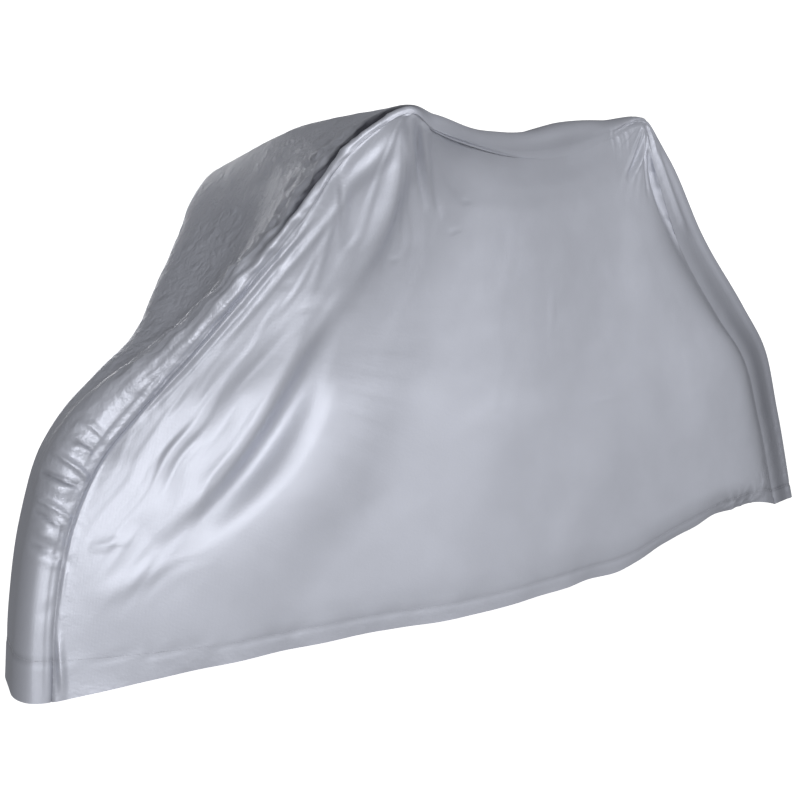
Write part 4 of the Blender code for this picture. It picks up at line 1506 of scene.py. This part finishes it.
def add_backdrop(scene):
    """A round floor whose edge curves up all round, seen by the camera but lighting nothing itself."""
    settings = scene.studio_settings
    flat = BACKDROP_RADIUS - BACKDROP_BEND
    profile = [(share * flat, 0.0) for share in BACKDROP_RINGS]
    for step in range(1, BEND_STEPS + 1):
        angle = 0.5 * math.pi * step / BEND_STEPS
        profile.append((flat + BACKDROP_BEND * math.sin(angle), BACKDROP_BEND * (1 - math.cos(angle))))
    profile.append((BACKDROP_RADIUS, BACKDROP_RISE))
    points = [(0.0, 0.0, settings.ground)]
    for radius, height in profile:
        for sector in range(BACKDROP_SECTORS):
            angle = 2 * math.pi * sector / BACKDROP_SECTORS
            points.append((radius * math.cos(angle), radius * math.sin(angle), settings.ground + height))
    faces = []
    for sector in range(BACKDROP_SECTORS):
        after = (sector + 1) % BACKDROP_SECTORS
        faces.append((0, 1 + sector, 1 + after))
        for ring in range(len(profile) - 1):
            first = 1 + ring * BACKDROP_SECTORS
            outer = first + BACKDROP_SECTORS
            faces.append((first + sector, outer + sector, outer + after, first + after))
    mesh = bpy.data.meshes.new("studio_floor")
    mesh.from_pydata(points, [], faces)
    mesh.shade_smooth()
    floor = bpy.data.objects.new("studio_floor", mesh)
    scene.collection.objects.link(floor)
    material = plain_finish("studio_floor", scene.cover_colours.backdrop, 0.9)
    shader = material.node_tree.nodes["Principled BSDF"]
    shader.inputs["Specular IOR Level"].default_value = 0.0
    shader.inputs["Emission Color"].default_value = (1, 1, 1, 1)
    shader.inputs["Emission Strength"].default_value = settings.backdrop_glow
    floor.data.materials.append(material)
    floor.visible_diffuse = False
    floor.visible_glossy = False
    floor.visible_shadow = False


def add_lights(scene):
    """Soft square lights that point at the cover, and an even room light."""
    settings = scene.studio_settings
    for light in LIGHTS:
        glow = bpy.data.lights.new(light.name, "AREA")
        glow.shape = "SQUARE"
        glow.size = light.size
        glow.energy = getattr(settings, light.power)
        lamp = bpy.data.objects.new(light.name, glow)
        scene.collection.objects.link(lamp)
        lamp.location = light.place
        lamp.rotation_mode = "QUATERNION"
        towards = Vector(LIGHT_TARGET) - Vector(light.place)
        lamp.rotation_quaternion = towards.to_track_quat("-Z", "Y")
    world = bpy.data.worlds.new("studio_room")
    world.use_nodes = True
    background = world.node_tree.nodes["Background"]
    background.inputs["Color"].default_value = (1, 1, 1, 1)
    background.inputs["Strength"].default_value = settings.sky
    scene.world = world
    scene.view_settings.view_transform = "Standard"


def add_camera(scene):
    """The camera, low on the left side of the front wheel."""
    camera = bpy.data.objects.new("camera", bpy.data.cameras.new("camera"))
    camera.data.lens = scene.studio_settings.lens
    camera.data.sensor_width = 36
    camera.location = Vector(CAMERA_PLACE) - Vector(SADDLE)
    camera.rotation_mode = "QUATERNION"
    camera.rotation_quaternion = aim(CAMERA_YAW, CAMERA_PITCH, CAMERA_ROLL).to_quaternion()
    scene.collection.objects.link(camera)
    scene.camera = camera


class COVER_PT_sidebar(bpy.types.Panel):
    """Settings and steps of the cover"""

    bl_idname = "COVER_PT_sidebar"
    bl_label = "Fitted cover"
    bl_space_type = "VIEW_3D"
    bl_region_type = "UI"
    bl_category = "Cover"

    def draw(self, context):
        for settings in (
            context.scene.cover_sizes,
            context.scene.cover_colours,
            context.scene.studio_settings,
        ):
            box = self.layout.box()
            for name in settings.__annotations__:
                box.prop(settings, name)
        for step in STEPS:
            self.layout.operator(step.bl_idname)


SETTINGS = {
    "cover_sizes": CoverSizes,
    "cover_colours": CoverColours,
    "studio_settings": StudioSettings,
}
STEPS = (COVER_OT_side_panels, COVER_OT_centre_gusset, COVER_OT_stitching, COVER_OT_studio)


def register():
    """Register the settings, the operators and the sidebar."""
    for name, group in SETTINGS.items():
        bpy.utils.register_class(group)
        setattr(bpy.types.Scene, name, PointerProperty(type=group))
    for step in STEPS:
        bpy.utils.register_class(step)
    bpy.utils.register_class(COVER_PT_sidebar)


def unregister():
    """Take everything back that register added."""
    bpy.utils.unregister_class(COVER_PT_sidebar)
    for step in reversed(STEPS):
        bpy.utils.unregister_class(step)
    for name, group in SETTINGS.items():
        delattr(bpy.types.Scene, name)
        bpy.utils.unregister_class(group)


def main():
    """Make the cover and its studio."""
    register()
    bpy.ops.cover.side_panels()
    bpy.ops.cover.centre_gusset()
    bpy.ops.cover.stitching()
    bpy.ops.cover.studio()


if __name__ == "__main__":
    main()
